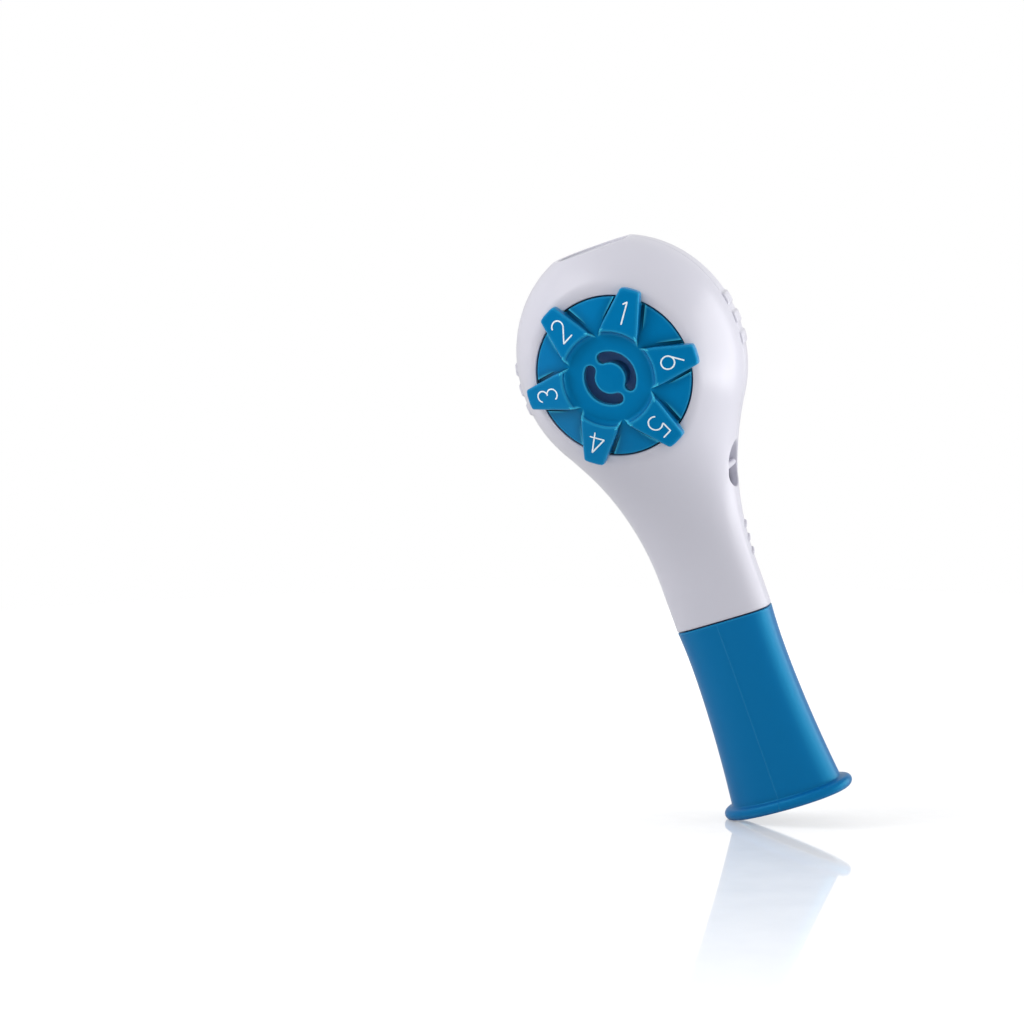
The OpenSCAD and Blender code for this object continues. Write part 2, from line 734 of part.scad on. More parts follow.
// A curved leaf spring on two feet, whose nose clicks into the notches of the skirt
module detent_spring() {
    nose_at_r = skirt_in_r - spring_clear - spring_nose_r;
    color("silver") rotate(180) {
        translate([0, 0, seat_floor_t]) linear_extrude(spring_h) {
            intersection() {
                difference() {
                    circle(r = spring_r + spring_leaf_t / 2);
                    circle(r = spring_r - spring_leaf_t / 2);
                }
                polygon(concat([[0, 0]], [for (i = [-2:2]) let (a = i * spring_span / 4)
                    2 * spring_r * [cos(a), sin(a)]]));
            }
            translate([nose_at_r, 0]) circle(r = spring_nose_r, $fn = small_n);
        }
        for (side = [-1, 1]) rotate(side * spring_span / 2)
            translate([spring_r, 0, seat_floor_t - spring_foot_t])
            cylinder(r = spring_foot_r, h = spring_foot_t + spring_h, $fn = small_n);
    }
}

module valve_seat() {
    color("gainsboro") translate([port_at_r, 0, seat_top_t - seat_t]) difference() {
        cylinder(r = seat_r, h = seat_t);
        translate([0, 0, -cut]) cylinder(r = pin_r + fit_gap, h = seat_t + 2 * cut, $fn = small_n);
        for (i = [1:seat_holes]) rotate(360 * i / seat_holes)
            translate([seat_hole_at_share * seat_r, 0, -cut])
            cylinder(r = seat_hole_share * seat_r, h = seat_t + 2 * cut);
    }
}

// The flap lies on the inner side of its seat for inhaling and on the outer side for exhaling
function flap_low_t(opens_in) = opens_in ? seat_top_t - seat_t - flap_t : seat_top_t;

module valve_flap(opens_in) {
    color("aliceblue") translate([port_at_r, 0, flap_low_t(opens_in)]) difference() {
        cylinder(r = flap_r, h = flap_t);
        translate([0, 0, -cut]) cylinder(r = pin_r + fit_gap, h = flap_t + 2 * cut, $fn = small_n);
    }
}

// The pin through flap and seat: a wide head on the flap, a snap head on the seat
module flap_pin(opens_in) {
    low = opens_in ? flap_low_t(true) : seat_top_t - seat_t;
    high = opens_in ? seat_top_t : seat_top_t + flap_t;
    low_head_r = opens_in ? pin_head_r : pin_snap_r;
    high_head_r = opens_in ? pin_snap_r : pin_head_r;
    color("white") translate([port_at_r, 0, 0]) {
        translate([0, 0, low - pin_head_t]) cylinder(r = low_head_r, h = pin_head_t, $fn = small_n);
        translate([0, 0, low - pin_head_t])
            cylinder(r = pin_r, h = high - low + 2 * pin_head_t, $fn = small_n);
        translate([0, 0, high]) cylinder(r = high_head_r, h = pin_head_t, $fn = small_n);
    }
}

module inhale_dial() { at_index(false) dial(inhale_settings); }
module inhale_metering_disc() { at_index(false) metering_disc(inhale_settings); }
module inhale_dial_clip() { at_index(false) dial_clip(); }
module inhale_dial_washer() { at_index(false) dial_washer(); }
module inhale_port_seal() { at_index(false) port_seal(); }
module inhale_detent_spring() { at_index(false) detent_spring(); }
module inhale_valve_seat() { at_index(false) valve_seat(); }
module inhale_valve_flap() { at_index(false) valve_flap(true); }
module inhale_flap_pin() { at_index(false) flap_pin(true); }
module exhale_dial() { at_index(true) dial(exhale_settings); }
module exhale_metering_disc() { at_index(true) metering_disc(exhale_settings); }
module exhale_dial_clip() { at_index(true) dial_clip(); }
module exhale_dial_washer() { at_index(true) dial_washer(); }
module exhale_port_seal() { at_index(true) port_seal(); }
module exhale_detent_spring() { at_index(true) detent_spring(); }
module exhale_valve_seat() { at_index(true) valve_seat(); }
module exhale_valve_flap() { at_index(true) valve_flap(false); }
module exhale_flap_pin() { at_index(true) flap_pin(false); }

front_shell();
rear_shell();
mouthpiece_spigot();
mouthpiece_sleeve();
lanyard_bar();
inhale_dial();
inhale_metering_disc();
inhale_dial_clip();
inhale_dial_washer();
inhale_port_seal();
inhale_detent_spring();
inhale_valve_seat();
inhale_valve_flap();
inhale_flap_pin();
exhale_dial();
exhale_metering_disc();
exhale_dial_clip();
exhale_dial_washer();
exhale_port_seal();
exhale_detent_spring();
exhale_valve_seat();
exhale_valve_flap();
exhale_flap_pin();
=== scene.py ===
"""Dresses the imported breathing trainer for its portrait.

The shells, the two dials and the soft mouthpiece are drawn here as smooth, softly edged
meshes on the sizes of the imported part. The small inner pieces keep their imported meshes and
get their finishes. Lengths are in millimetres until a mesh is made, in the part's own frame.
"""

from __future__ import annotations

import logging
import math
from dataclasses import dataclass, field
from enum import Enum
from functools import cached_property
from typing import ClassVar, Sequence, Union

import bmesh
import bpy
import numpy as np
from mathutils import Matrix, Vector

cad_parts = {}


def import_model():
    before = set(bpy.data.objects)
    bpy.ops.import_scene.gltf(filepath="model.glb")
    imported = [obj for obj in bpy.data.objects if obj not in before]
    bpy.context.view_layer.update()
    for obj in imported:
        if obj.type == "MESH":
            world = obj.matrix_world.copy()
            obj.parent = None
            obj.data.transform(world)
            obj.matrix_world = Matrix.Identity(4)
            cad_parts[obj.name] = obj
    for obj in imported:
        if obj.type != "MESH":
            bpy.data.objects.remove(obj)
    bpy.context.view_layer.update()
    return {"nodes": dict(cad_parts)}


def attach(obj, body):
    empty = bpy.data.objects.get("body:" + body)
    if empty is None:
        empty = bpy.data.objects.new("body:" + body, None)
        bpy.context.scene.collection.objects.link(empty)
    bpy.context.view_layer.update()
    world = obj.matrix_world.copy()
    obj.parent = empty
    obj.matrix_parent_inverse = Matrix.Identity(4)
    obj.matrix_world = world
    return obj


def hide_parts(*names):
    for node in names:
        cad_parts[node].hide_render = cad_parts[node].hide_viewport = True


MM = 0.001
OVERRUN = 1.0  # how far a cut runs past the face that it opens, in millimetres
LIP_ANGLES = (20, 40, 60, 75, 90)  # where the steps of a cut's rounded lip lie
SMOOTH_ANGLE = math.radians(32)
log = logging.getLogger("breathing_trainer")

Colour = tuple[float, float, float]
Points = np.ndarray
Face = Sequence[int]
Profile = Sequence[tuple[float, float]]


class Side(Enum):
    """The side of the middle plane that a shell or dial belongs to."""

    INHALE = "inhale"
    EXHALE = "exhale"

    @property
    def turned(self) -> bool:
        """True where the piece is drawn at the front and turned to the back."""
        return self is Side.EXHALE


class Slot(Enum):
    """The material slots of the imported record."""

    HOUSING = "housing"
    DIAL = "dial"
    SLEEVE = "soft_sleeve"
    INNER = "inner_plastic"
    STEEL = "spring_steel"
    SEAL = "seal_rubber"
    SILICONE = "silicone"


class Body(Enum):
    """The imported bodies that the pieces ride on."""

    HOUSING = "housing"
    INHALE_KNOB = "inhale_knob"
    EXHALE_KNOB = "exhale_knob"
    MOUTHPIECE = "mouthpiece"


# Shader maths


class Socket:
    """An output socket that adds Math nodes when it is used in an expression."""

    def __init__(self, bench: "Bench", output: bpy.types.NodeSocket) -> None:
        """Keeps the bench that adds nodes and the socket that it stands for."""
        self.bench = bench
        self.output = output

    def _math(self, operation: str, first: "Term", second: "Term") -> "Socket":
        """Adds one Math node.

        Args:
            operation: The Math node's operation.
            first: Its first value or socket.
            second: Its second value or socket.

        Returns:
            The node's output.
        """
        return self.bench.node("ShaderNodeMath", {0: first, 1: second}, operation=operation)

    def __add__(self, other: "Term") -> "Socket":
        """The sum of the two."""
        return self._math("ADD", self, other)

    __radd__ = __add__

    def __sub__(self, other: "Term") -> "Socket":
        """This less the other."""
        return self._math("SUBTRACT", self, other)

    def __rsub__(self, other: "Term") -> "Socket":
        """The other less this."""
        return self._math("SUBTRACT", other, self)

    def __mul__(self, other: "Term") -> "Socket":
        """The product of the two."""
        return self._math("MULTIPLY", self, other)

    __rmul__ = __mul__


Term = Union[Socket, float, int]


class Bench:
    """A node tree with one method for adding nodes."""

    def __init__(self, tree: bpy.types.NodeTree) -> None:
        """Clears the tree and keeps it."""
        tree.nodes.clear()
        self.tree = tree

    def node(self, kind: str, inputs: dict, output: Union[int, str] = 0, **settings: object) -> Socket:
        """Adds a node, sets its settings first and then its inputs.

        Args:
            kind: The node's type.
            inputs: Values or sockets by the input's name or number.
            output: The output that is wanted.
            **settings: The node's own settings.

        Returns:
            The wanted output.
        """
        made = self.tree.nodes.new(kind)
        for name, value in settings.items():
            setattr(made, name, value)
        for name, value in inputs.items():
            if isinstance(value, Socket):
                self.tree.links.new(value.output, made.inputs[name])
            else:
                made.inputs[name].default_value = value
        outputs = made.outputs
        return Socket(self, outputs[output]) if len(outputs) else Socket(self, made.inputs[0])

    def noise(self, scale: float, detail: float = 3, distortion: float = 0) -> Socket:
        """A noise over the part's own metres, from 0 to 1, with `scale` waves a metre."""
        place = self.node("ShaderNodeTexCoord", {}, "Object")
        return self.node(
            "ShaderNodeTexNoise",
            {"Vector": place, "Scale": scale, "Detail": detail, "Distortion": distortion},
            "Fac",
        )

    def blend(self, share: Term, low: Union[Colour, Socket], high: Union[Colour, Socket]) -> Socket:
        """The colour that lies `share` of the way from low to high."""
        ends = [end if isinstance(end, Socket) else (*end, 1) for end in (low, high)]
        return self.node("ShaderNodeMix", {0: share, 6: ends[0], 7: ends[1]}, 2, data_type="RGBA")

    # Its value is the mask that paints shade into corners and highlights onto outer edges in Finish.tone.
    def closeness(self, reach: float, inside: bool = False) -> Socket:
        """How near the part's own surface comes within `reach` metres, outside it or through its inside."""
        settings = {"samples": 12, "inside": inside, "only_local": True}
        return 1 - self.node("ShaderNodeAmbientOcclusion", {"Distance": reach}, "AO", **settings)

    def bump(self, height: Socket, strength: float, depth: float) -> Socket:
        """A normal bumped by a height, whose full rise is `depth` metres."""
        inputs = {"Height": height, "Strength": strength, "Distance": depth}
        return self.node("ShaderNodeBump", inputs)


@dataclass(frozen=True)
class Finish:
    """A moulded, metal or rubber finish with a fine grain and slow drifts of tone, and where asked painted
    shade in its corners and painted highlights on its edges.

    Attributes:
        name: The material's name.
        base: Its colour.
        drift: The colour that its slow drifts lean to.
        rough: Roughness where the surface is smoothest.
        rough_gain: What handling adds to it in places.
        broad: Waves a metre of the slowest drift of tone.
        patchy: Waves a metre of the next one.
        touch: Waves a metre of the traces of handling.
        grain: Waves a metre of the fine grain.
        grain_depth: Height of that grain, in metres.
        painted_shade: How much painted shade darkens the tightest corners.
        painted_shade_reach: How far from a corner that painted shade reaches, in metres.
        painted_shade_tone: The colour of that painted shade.
        edge: How much painted highlight pales the outer edges.
        painted_highlight_reach: How far from an edge that painted highlight reaches, in metres.
        painted_highlight_tone: The colour of that painted highlight.
        constants: Values that are the same all over, by the shader's socket.
    """

    name: str
    base: Colour
    drift: Colour
    rough: float
    rough_gain: float = 0.06
    broad: float = 26
    patchy: float = 210
    touch: float = 60
    grain: float = 2600
    grain_depth: float = 4e-6
    painted_shade: float = 0.0
    painted_shade_reach: float = 2e-3
    painted_shade_tone: Colour = (0.0, 0.0, 0.0)
    edge: float = 0.0
    painted_highlight_reach: float = 5e-4
    painted_highlight_tone: Colour = (1.0, 1.0, 1.0)
    constants: tuple[tuple[str, object], ...] = ()

    def tone(self, bench: Bench) -> Socket:
        """The colour: slow noises lean it to the drift colour, painted shade darkens the corners and a
        painted highlight pales the outer edges.
        """
        share = bench.noise(self.broad, 2) * 0.7 + bench.noise(self.patchy, 3) * 0.3
        colour = bench.blend(share, self.base, self.drift)
        if self.painted_shade:
            # Painted shade: darkens the colour where the part's own surface comes near, in corners, grooves
            # and seams.
            colour = bench.blend(bench.closeness(self.painted_shade_reach) * self.painted_shade, colour, self.painted_shade_tone)
        if self.edge:
            # Painted highlight: pales the colour along outer edges.
            colour = bench.blend(bench.closeness(self.painted_highlight_reach, True) * self.edge, colour, self.painted_highlight_tone)
        return colour

    def build(self) -> bpy.types.Material:
        """Makes the material.

        Returns:
            A node material with colour, roughness and bump of its own.
        """
        material = bpy.data.materials.new(self.name)
        material.use_nodes = True
        bench = Bench(material.node_tree)
        handled = bench.noise(self.touch, 4, 0.4)
        normal = bench.bump(bench.noise(self.grain, 2), 0.35, self.grain_depth)
        inputs = {
            "Base Color": self.tone(bench),
            "Roughness": self.rough + handled * self.rough_gain,
            "Normal": normal,
        }
        inputs.update(dict(self.constants))
        shader = bench.node("ShaderNodeBsdfPrincipled", inputs)
        bench.node("ShaderNodeOutputMaterial", {"Surface": shader})
        material.diffuse_color = (*self.base, 1)
        return material


FINISHES: dict[Slot, Finish] = {
    Slot.HOUSING: Finish(
        "gloss_white",
        (0.6, 0.597, 0.675),
        (0.64, 0.632, 0.705),
        0.26,
        # Painted shade darkens the housing's corners and creases, such as the seam and the joint line.
        painted_shade=0.9,
        painted_shade_reach=1.2e-3,
        painted_shade_tone=(0.1, 0.1, 0.13),
        constants=(("IOR", 1.5), ("Coat Weight", 0.12), ("Coat Roughness", 0.24)),
    ),
    Slot.DIAL: Finish(
        "satin_blue",
        (0.0, 0.155, 0.4),
        (0.0, 0.17, 0.425),
        0.26,
        # Painted shade darkens the grooves, the slots and the hollows between hub and tabs.
        painted_shade=1.7,
        painted_shade_reach=3.6e-3,
        painted_shade_tone=(0.0, 0.012, 0.06),
        # Painted highlight: pale cyan along the outer edges of tabs and sectors.
        edge=1.6,
        painted_highlight_reach=6.5e-4,
        painted_highlight_tone=(0.06, 0.52, 0.76),
        constants=(("Specular IOR Level", 0.7), ("Specular Tint", (0.03, 0.7, 1.0, 1))),
    ),
    Slot.SLEEVE: Finish(
        "soft_blue",
        (0.0, 0.108, 0.335),
        (0.0, 0.122, 0.36),
        0.3,
        grain=3400,
        grain_depth=6e-6,
        # Painted shade darkens the sleeve's creases, such as where the rim meets it.
        painted_shade=1.0,
        painted_shade_reach=1.5e-3,
        painted_shade_tone=(0.0, 0.02, 0.09),
        # Painted highlight: pale blue along the outer edges.
        edge=0.6,
        painted_highlight_reach=6e-4,
        painted_highlight_tone=(0.04, 0.4, 0.64),
        constants=(("Specular IOR Level", 1.0), ("Specular Tint", (0.08, 0.8, 1.0, 1))),
    ),
    Slot.INNER: Finish("slate_plastic", (0.09, 0.085, 0.15), (0.11, 0.1, 0.17), 0.42),
    Slot.STEEL: Finish(
        "spring_steel",
        (0.58, 0.58, 0.6),
        (0.64, 0.63, 0.62),
        0.26,
        constants=(("Metallic", 1.0),),
    ),
    Slot.SEAL: Finish("black_seal", (0.02, 0.02, 0.024), (0.03, 0.03, 0.034), 0.6),
    Slot.SILICONE: Finish("milky_silicone", (0.7, 0.72, 0.74), (0.76, 0.77, 0.78), 0.4),
}
DISC_FINISH = Finish("slate_disc", (0.1, 0.3, 0.75), (0.13, 0.33, 0.8), 0.4)
DIGIT_FINISH = Finish("white_print", (0.88, 0.96, 1.0), (0.85, 0.93, 0.98), 0.5, grain_depth=1e-6)


class Finishes:
    """The built materials, made once each."""

    def __init__(self) -> None:
        """Builds every finish."""
        self.by_slot = {slot: finish.build() for slot, finish in FINISHES.items()}
        self.digits = DIGIT_FINISH.build()
        self.disc = DISC_FINISH.build()

    def dress(self, piece: bpy.types.Object, slot: Slot) -> None:
        """Gives a new piece the finish of a slot."""
        piece.data.materials.clear()
        piece.data.materials.append(self.by_slot[slot])

    def dress_node(self, node: bpy.types.Object, slot: Slot) -> None:
        """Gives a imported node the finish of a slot, in its object's own slots."""
        finish = self.disc if node.name.endswith("metering_disc") else self.by_slot[slot]
        for place in node.material_slots:
            place.material = finish


# Meshes


def grid_faces(rows: int, columns: int, round_columns: bool, round_rows: bool = False) -> list[Face]:
    """Faces of a grid of points.

    Args:
        rows: How many rows it has.
        columns: How many points each row has.
        round_columns: Whether the last column joins the first.
        round_rows: Whether the last row joins the first.

    Returns:
        One four-sided face for each cell.
    """
    faces = []
    for i in range(rows if round_rows else rows - 1):
        for j in range(columns if round_columns else columns - 1):
            here, there = i * columns, (i + 1) % rows * columns
            after = (j + 1) % columns
            faces.append((here + j, here + after, there + after, there + j))
    return faces


def solid(name: str, points: Points, faces: Sequence[Face]) -> bpy.types.Object:
    """Makes a closed mesh object with its faces turned outward.

    Args:
        name: The object's name.
        points: Its points in millimetres.
        faces: Its faces.

    Returns:
        The new object, in the scene.
    """
    mesh = bpy.data.meshes.new(name)
    mesh.from_pydata((np.asarray(points, float) * MM).tolist(), [], faces)
    work = bmesh.new()
    work.from_mesh(mesh)
    bmesh.ops.remove_doubles(work, verts=work.verts, dist=1e-8)
    bmesh.ops.dissolve_degenerate(work, edges=work.edges, dist=1e-9)
    bmesh.ops.recalc_face_normals(work, faces=work.faces)
    work.to_mesh(mesh)
    work.free()
    piece = bpy.data.objects.new(name, mesh)
    bpy.context.scene.collection.objects.link(piece)
    return piece


def tube_faces(rows: int, columns: int) -> list[Face]:
    """Faces of a tube of points with flat ends."""
    last = (rows - 1) * columns
    ends = [tuple(range(columns)), tuple(range(last, last + columns))]
    return grid_faces(rows, columns, True) + ends


def stack(name: str, outlines: Sequence[Points]) -> bpy.types.Object:
    """A closed solid through outlines that lie one above the other, with flat ends."""
    faces = tube_faces(len(outlines), len(outlines[0]))
    return solid(name, np.concatenate(outlines), faces)


def carve(target: bpy.types.Object, tool: bpy.types.Object, operation: str = "DIFFERENCE") -> None:
    """Cuts a tool out of a target, or joins it on, and deletes the tool."""
    step = target.modifiers.new("carve", "BOOLEAN")
    step.operation = operation
    step.solver = "MANIFOLD"
    step.object = tool
    settle(target)
    spare = tool.data
    bpy.data.objects.remove(tool)
    bpy.data.meshes.remove(spare)
    if not len(target.data.polygons):
        raise RuntimeError(f"{operation} left nothing of {target.name}")


def finish_mesh(piece: bpy.types.Object) -> None:
    """Shades a piece smooth, except across its sharp edges, with its broad faces kept flat."""
    mesh = piece.data
    mesh.polygons.foreach_set("use_smooth", [True] * len(mesh.polygons))
    mesh.set_sharp_from_angle(angle=SMOOTH_ANGLE)
    step = piece.modifiers.new("broad_faces", "WEIGHTED_NORMAL")
    step.keep_sharp = True
    settle(piece)
    piece.data.name = piece.name


def settle(piece: bpy.types.Object) -> None:
    """Puts what a piece's modifiers make in its mesh's place."""
    bpy.context.view_layer.update()
    ready = piece.evaluated_get(bpy.context.evaluated_depsgraph_get())
    made = bpy.data.meshes.new_from_object(ready)
    piece.modifiers.clear()
    old, piece.data = piece.data, made
    bpy.data.meshes.remove(old)


def arc(centre: Sequence[float], radius: float, start: float, end: float, steps: int) -> Points:
    """Points on an arc, from one angle to another in degrees."""
    angles = np.radians(np.linspace(start, end, steps + 1))
    return np.stack([centre[0] + radius * np.cos(angles), centre[1] + radius * np.sin(angles)], 1)


def oval(a: float, b: float, e: float, angle: Points) -> tuple[Points, Points]:
    """Both coordinates of a squared oval with half sizes a and b; squareness e is 2 for an ellipse."""
    c, s = np.cos(angle), np.sin(angle)
    return a * np.sign(c) * np.abs(c) ** (2 / e), b * np.sign(s) * np.abs(s) ** (2 / e)


def at_height(x: Points, y: Points, z: float) -> Points:
    """Points that all lie at one height."""
    return np.stack([x, y, np.full(len(x), z)], 1)


def lip_steps(lip: float) -> list[tuple[float, float]]:
    """Depth and outward growth of a cut's outline along its rounded lip."""
    return [(lip * (1 - math.cos(t)), lip * (1 - math.sin(t))) for t in np.radians(LIP_ANGLES)]


def inset_outline(outline: Points, depth: float) -> Points:
    """Moves a closed outline, drawn anticlockwise, inwards by a small depth."""
    before, after = np.roll(outline, 1, 0), np.roll(outline, -1, 0)

    def inward(step: Points) -> Points:
        """The unit normals on the left of some steps."""
        normal = np.stack([-step[:, 1], step[:, 0]], 1)
        return normal / np.maximum(np.linalg.norm(normal, axis=1, keepdims=True), 1e-9)

    first, second = inward(outline - before), inward(after - outline)
    middle = first + second
    middle /= np.maximum(np.linalg.norm(middle, axis=1, keepdims=True), 1e-9)
    spread = np.maximum(np.sum(middle * first, 1, keepdims=True), 0.5)
    return outline + middle * depth / spread


def soft_min(first: Points, second: float, blend: float) -> Points:
    """The lesser of the two, with the corner between them rounded over `blend`."""
    near = np.maximum(blend - np.abs(first - second), 0) / blend
    return np.minimum(first, second) - near**2 * blend / 4


# The housing


@dataclass(frozen=True)
class HousingForm:
    """The form of the two shells together: a round head that sweeps into an oval neck.

    Attributes:
        total_h: Height of the whole trainer, in millimetres as all lengths here.
        joint_h: Height of the joint between mouthpiece and housing.
        head_r: Half width of the head.
        tall_share: Half height of the head over its half width.
        crown_share: Height of the flat top above the head's centre, over that half height.
        depth_share: Half depth of the head over its half width, before the dial faces cut it.
        depth_circle_share: Half height of the rounded depth over the head's half width.
        face_share: Distance of the dial faces from the middle plane, over the same.
        recess_share: Radius of the dials' recesses, over the same.
        dial_drop: How far the dials' axis lies below the head's centre.
        head_e: Squareness of the head's section.
        neck_e: Squareness of the neck's section.
        wall: Thickness of the housing.
        crown_t: Thickness of the closed top.
        neck_a: Half width of the neck.
        neck_b: Half depth of the neck.
        neck_len: Length of its straight part.
        joint_bow: Rise of the joint line at the neck's front and back.
        bow_fade: Distance from the joint where the rows are level again.
        face_blend: Rounding between a dial face and the head.
        index_turn: Turn of the dials' index from the level line, in degrees.
    """

    total_h: float = 148.6
    joint_h: float = 50.2
    head_r: float = 28.7
    tall_share: float = 1.084
    crown_share: float = 0.932
    depth_share: float = 0.83
    depth_circle_share: float = 1.152
    face_share: float = 0.604
    recess_share: float = 0.697
    dial_drop: float = 1.1
    head_e: float = 2.15
    neck_e: float = 2.4
    wall: float = 1.9
    crown_t: float = 3.0
    neck_a: float = 12.6
    neck_b: float = 7.5
    neck_len: float = 12.4
    joint_bow: float = 0.6
    bow_fade: float = 9.0
    face_blend: float = 1.1
    index_turn: float = -2.3

    @cached_property
    def head_top_r(self) -> float:
        """Half height of the head."""
        return self.tall_share * self.head_r

    @cached_property
    def head_h(self) -> float:
        """Height of the head's centre."""
        return self.total_h - self.crown_share * self.head_top_r

    @cached_property
    def axis_h(self) -> float:
        """Height of the dials' axis."""
        return self.head_h - self.dial_drop

    @cached_property
    def face_t(self) -> float:
        """Distance of the dial faces from the middle plane."""
        return self.face_share * self.head_r

    @cached_property
    def recess_r(self) -> float:
        """Radius of the dials' recesses."""
        return self.recess_share * self.head_r

    @cached_property
    def circle_r(self) -> float:
        """Half height of the rounded depth, seen from the side."""
        return self.depth_circle_share * self.head_r

    @cached_property
    def squash(self) -> float:
        """Depth of the rounded side over its height."""
        return self.depth_share / self.depth_circle_share

    @cached_property
    def sweep_low_h(self) -> float:
        """Height where the neck starts to widen."""
        return self.joint_h + self.neck_len

    def _sweep_r(self, centre: float, radius: float, neck: float, tall: float) -> float:
        """Radius of the sweep from the neck to a round head, before both are stretched."""
        rise = (centre - self.sweep_low_h) / tall
        return (rise**2 - radius**2 + neck**2) / (2 * (radius - neck))

    def _swept(
        self, z: Points, centre: float, radius: float, neck: float, sweep: float, tall: float
    ) -> Points:
        """Half width at heights z of a round head that sweeps into a straight neck.

        Args:
            z: The heights.
            centre: Height of the head's centre.
            radius: The head's radius.
            neck: Half width of the neck.
            sweep: Radius of the sweep between them.
            tall: How much head and sweep are stretched in height.

        Returns:
            The half width at each height.
        """
        meet = centre - (centre - self.sweep_low_h) * radius / (radius + sweep)
        head = np.sqrt(np.maximum(radius**2 - ((z - centre) / tall) ** 2, 0))
        rise = np.clip((z - self.sweep_low_h) / tall, 0, sweep)
        curve = neck + sweep - np.sqrt(sweep**2 - rise**2)
        return np.where(z >= meet, head, np.where(z > self.sweep_low_h, curve, neck))

    @cached_property
    def front_sweep_r(self) -> float:
        """Radius of the sweep that the front view shows."""
        return self._sweep_r(self.head_h, self.head_r, self.neck_a, self.tall_share)

    def half_width(self, z: Points, inside: float = 0.0) -> Points:
        """Half width at heights z, a wall `inside` the skin."""
        radius, neck, sweep = self.head_r - inside, self.neck_a - inside, self.front_sweep_r + inside
        return self._swept(np.asarray(z, float), self.head_h, radius, neck, sweep, self.tall_share)

    def half_depth(self, z: Points, inside: float = 0.0) -> Points:
        """Half depth at heights z, before the flat dial faces cut it."""
        neck = self.neck_b / self.squash
        sweep = self._sweep_r(self.axis_h, self.circle_r, neck, 1)
        round_form = self._swept(np.asarray(z, float), self.axis_h, self.circle_r, neck, sweep, 1)
        return self.squash * round_form - inside

    def squareness(self, z: Points) -> Points:
        """Squareness of the section at heights z."""
        rise = (self.head_h - self.sweep_low_h) * self.head_r / (self.head_r + self.front_sweep_r)
        low = self.head_h - rise
        share = np.clip((np.asarray(z, float) - self.sweep_low_h) / (low - self.sweep_low_h), 0, 1)
        return self.neck_e + (self.head_e - self.neck_e) * share**2 * (3 - 2 * share)

    def bow(self, y: Points) -> Points:
        """Rise of the joint line at depth y."""
        radius = (self.neck_b**2 + self.joint_bow**2) / (2 * self.joint_bow)
        return radius - np.sqrt(radius**2 - np.minimum(np.abs(y), self.neck_b) ** 2)

    def bow_share(self, z: float) -> float:
        """How much of that bow the rows at height z have."""
        return max(0.0, 1 - abs(z - self.joint_h) / self.bow_fade) ** 2

    def at_dial(self, local: Points, side: Side) -> Points:
        """Places points drawn round the dial axis, local z pointing out of the dial."""
        x, y, out = np.asarray(local, float).T
        way = -1 if side.turned else 1
        return np.stack([way * x, -way * out, y + self.axis_h], 1)


FORM = HousingForm()


def turned(
    name: str, profile: Profile, side: Side, ring: bool = False, steps: int = 192
) -> bpy.types.Object:
    """A solid of revolution on the dial axis.

    Args:
        name: The object's name.
        profile: Radius and distance from the middle plane of each point.
        side: The side it points to.
        ring: Whether the profile is a closed loop that stays clear of the axis.
        steps: How many steps the round has.

    Returns:
        The closed solid.
    """
    shape = np.asarray(profile, float)
    angles = np.linspace(0, 2 * math.pi, steps, endpoint=False)
    rows = [at_height(r * np.cos(angles), r * np.sin(angles), t) for r, t in shape]
    faces = grid_faces(len(rows), steps, True, ring)
    return solid(name, FORM.at_dial(np.concatenate(rows), side), faces)


def drum(at: Sequence[float], radius: float, low: float, high: float, side: Side) -> bpy.types.Object:
    """A plain cylinder beside the dial axis, used as a cutter or a boss."""
    ring = arc(at, radius, 0, 360, 64)[:-1]
    return stack("drum", [FORM.at_dial(at_height(*ring.T, t), side) for t in (low, high)])


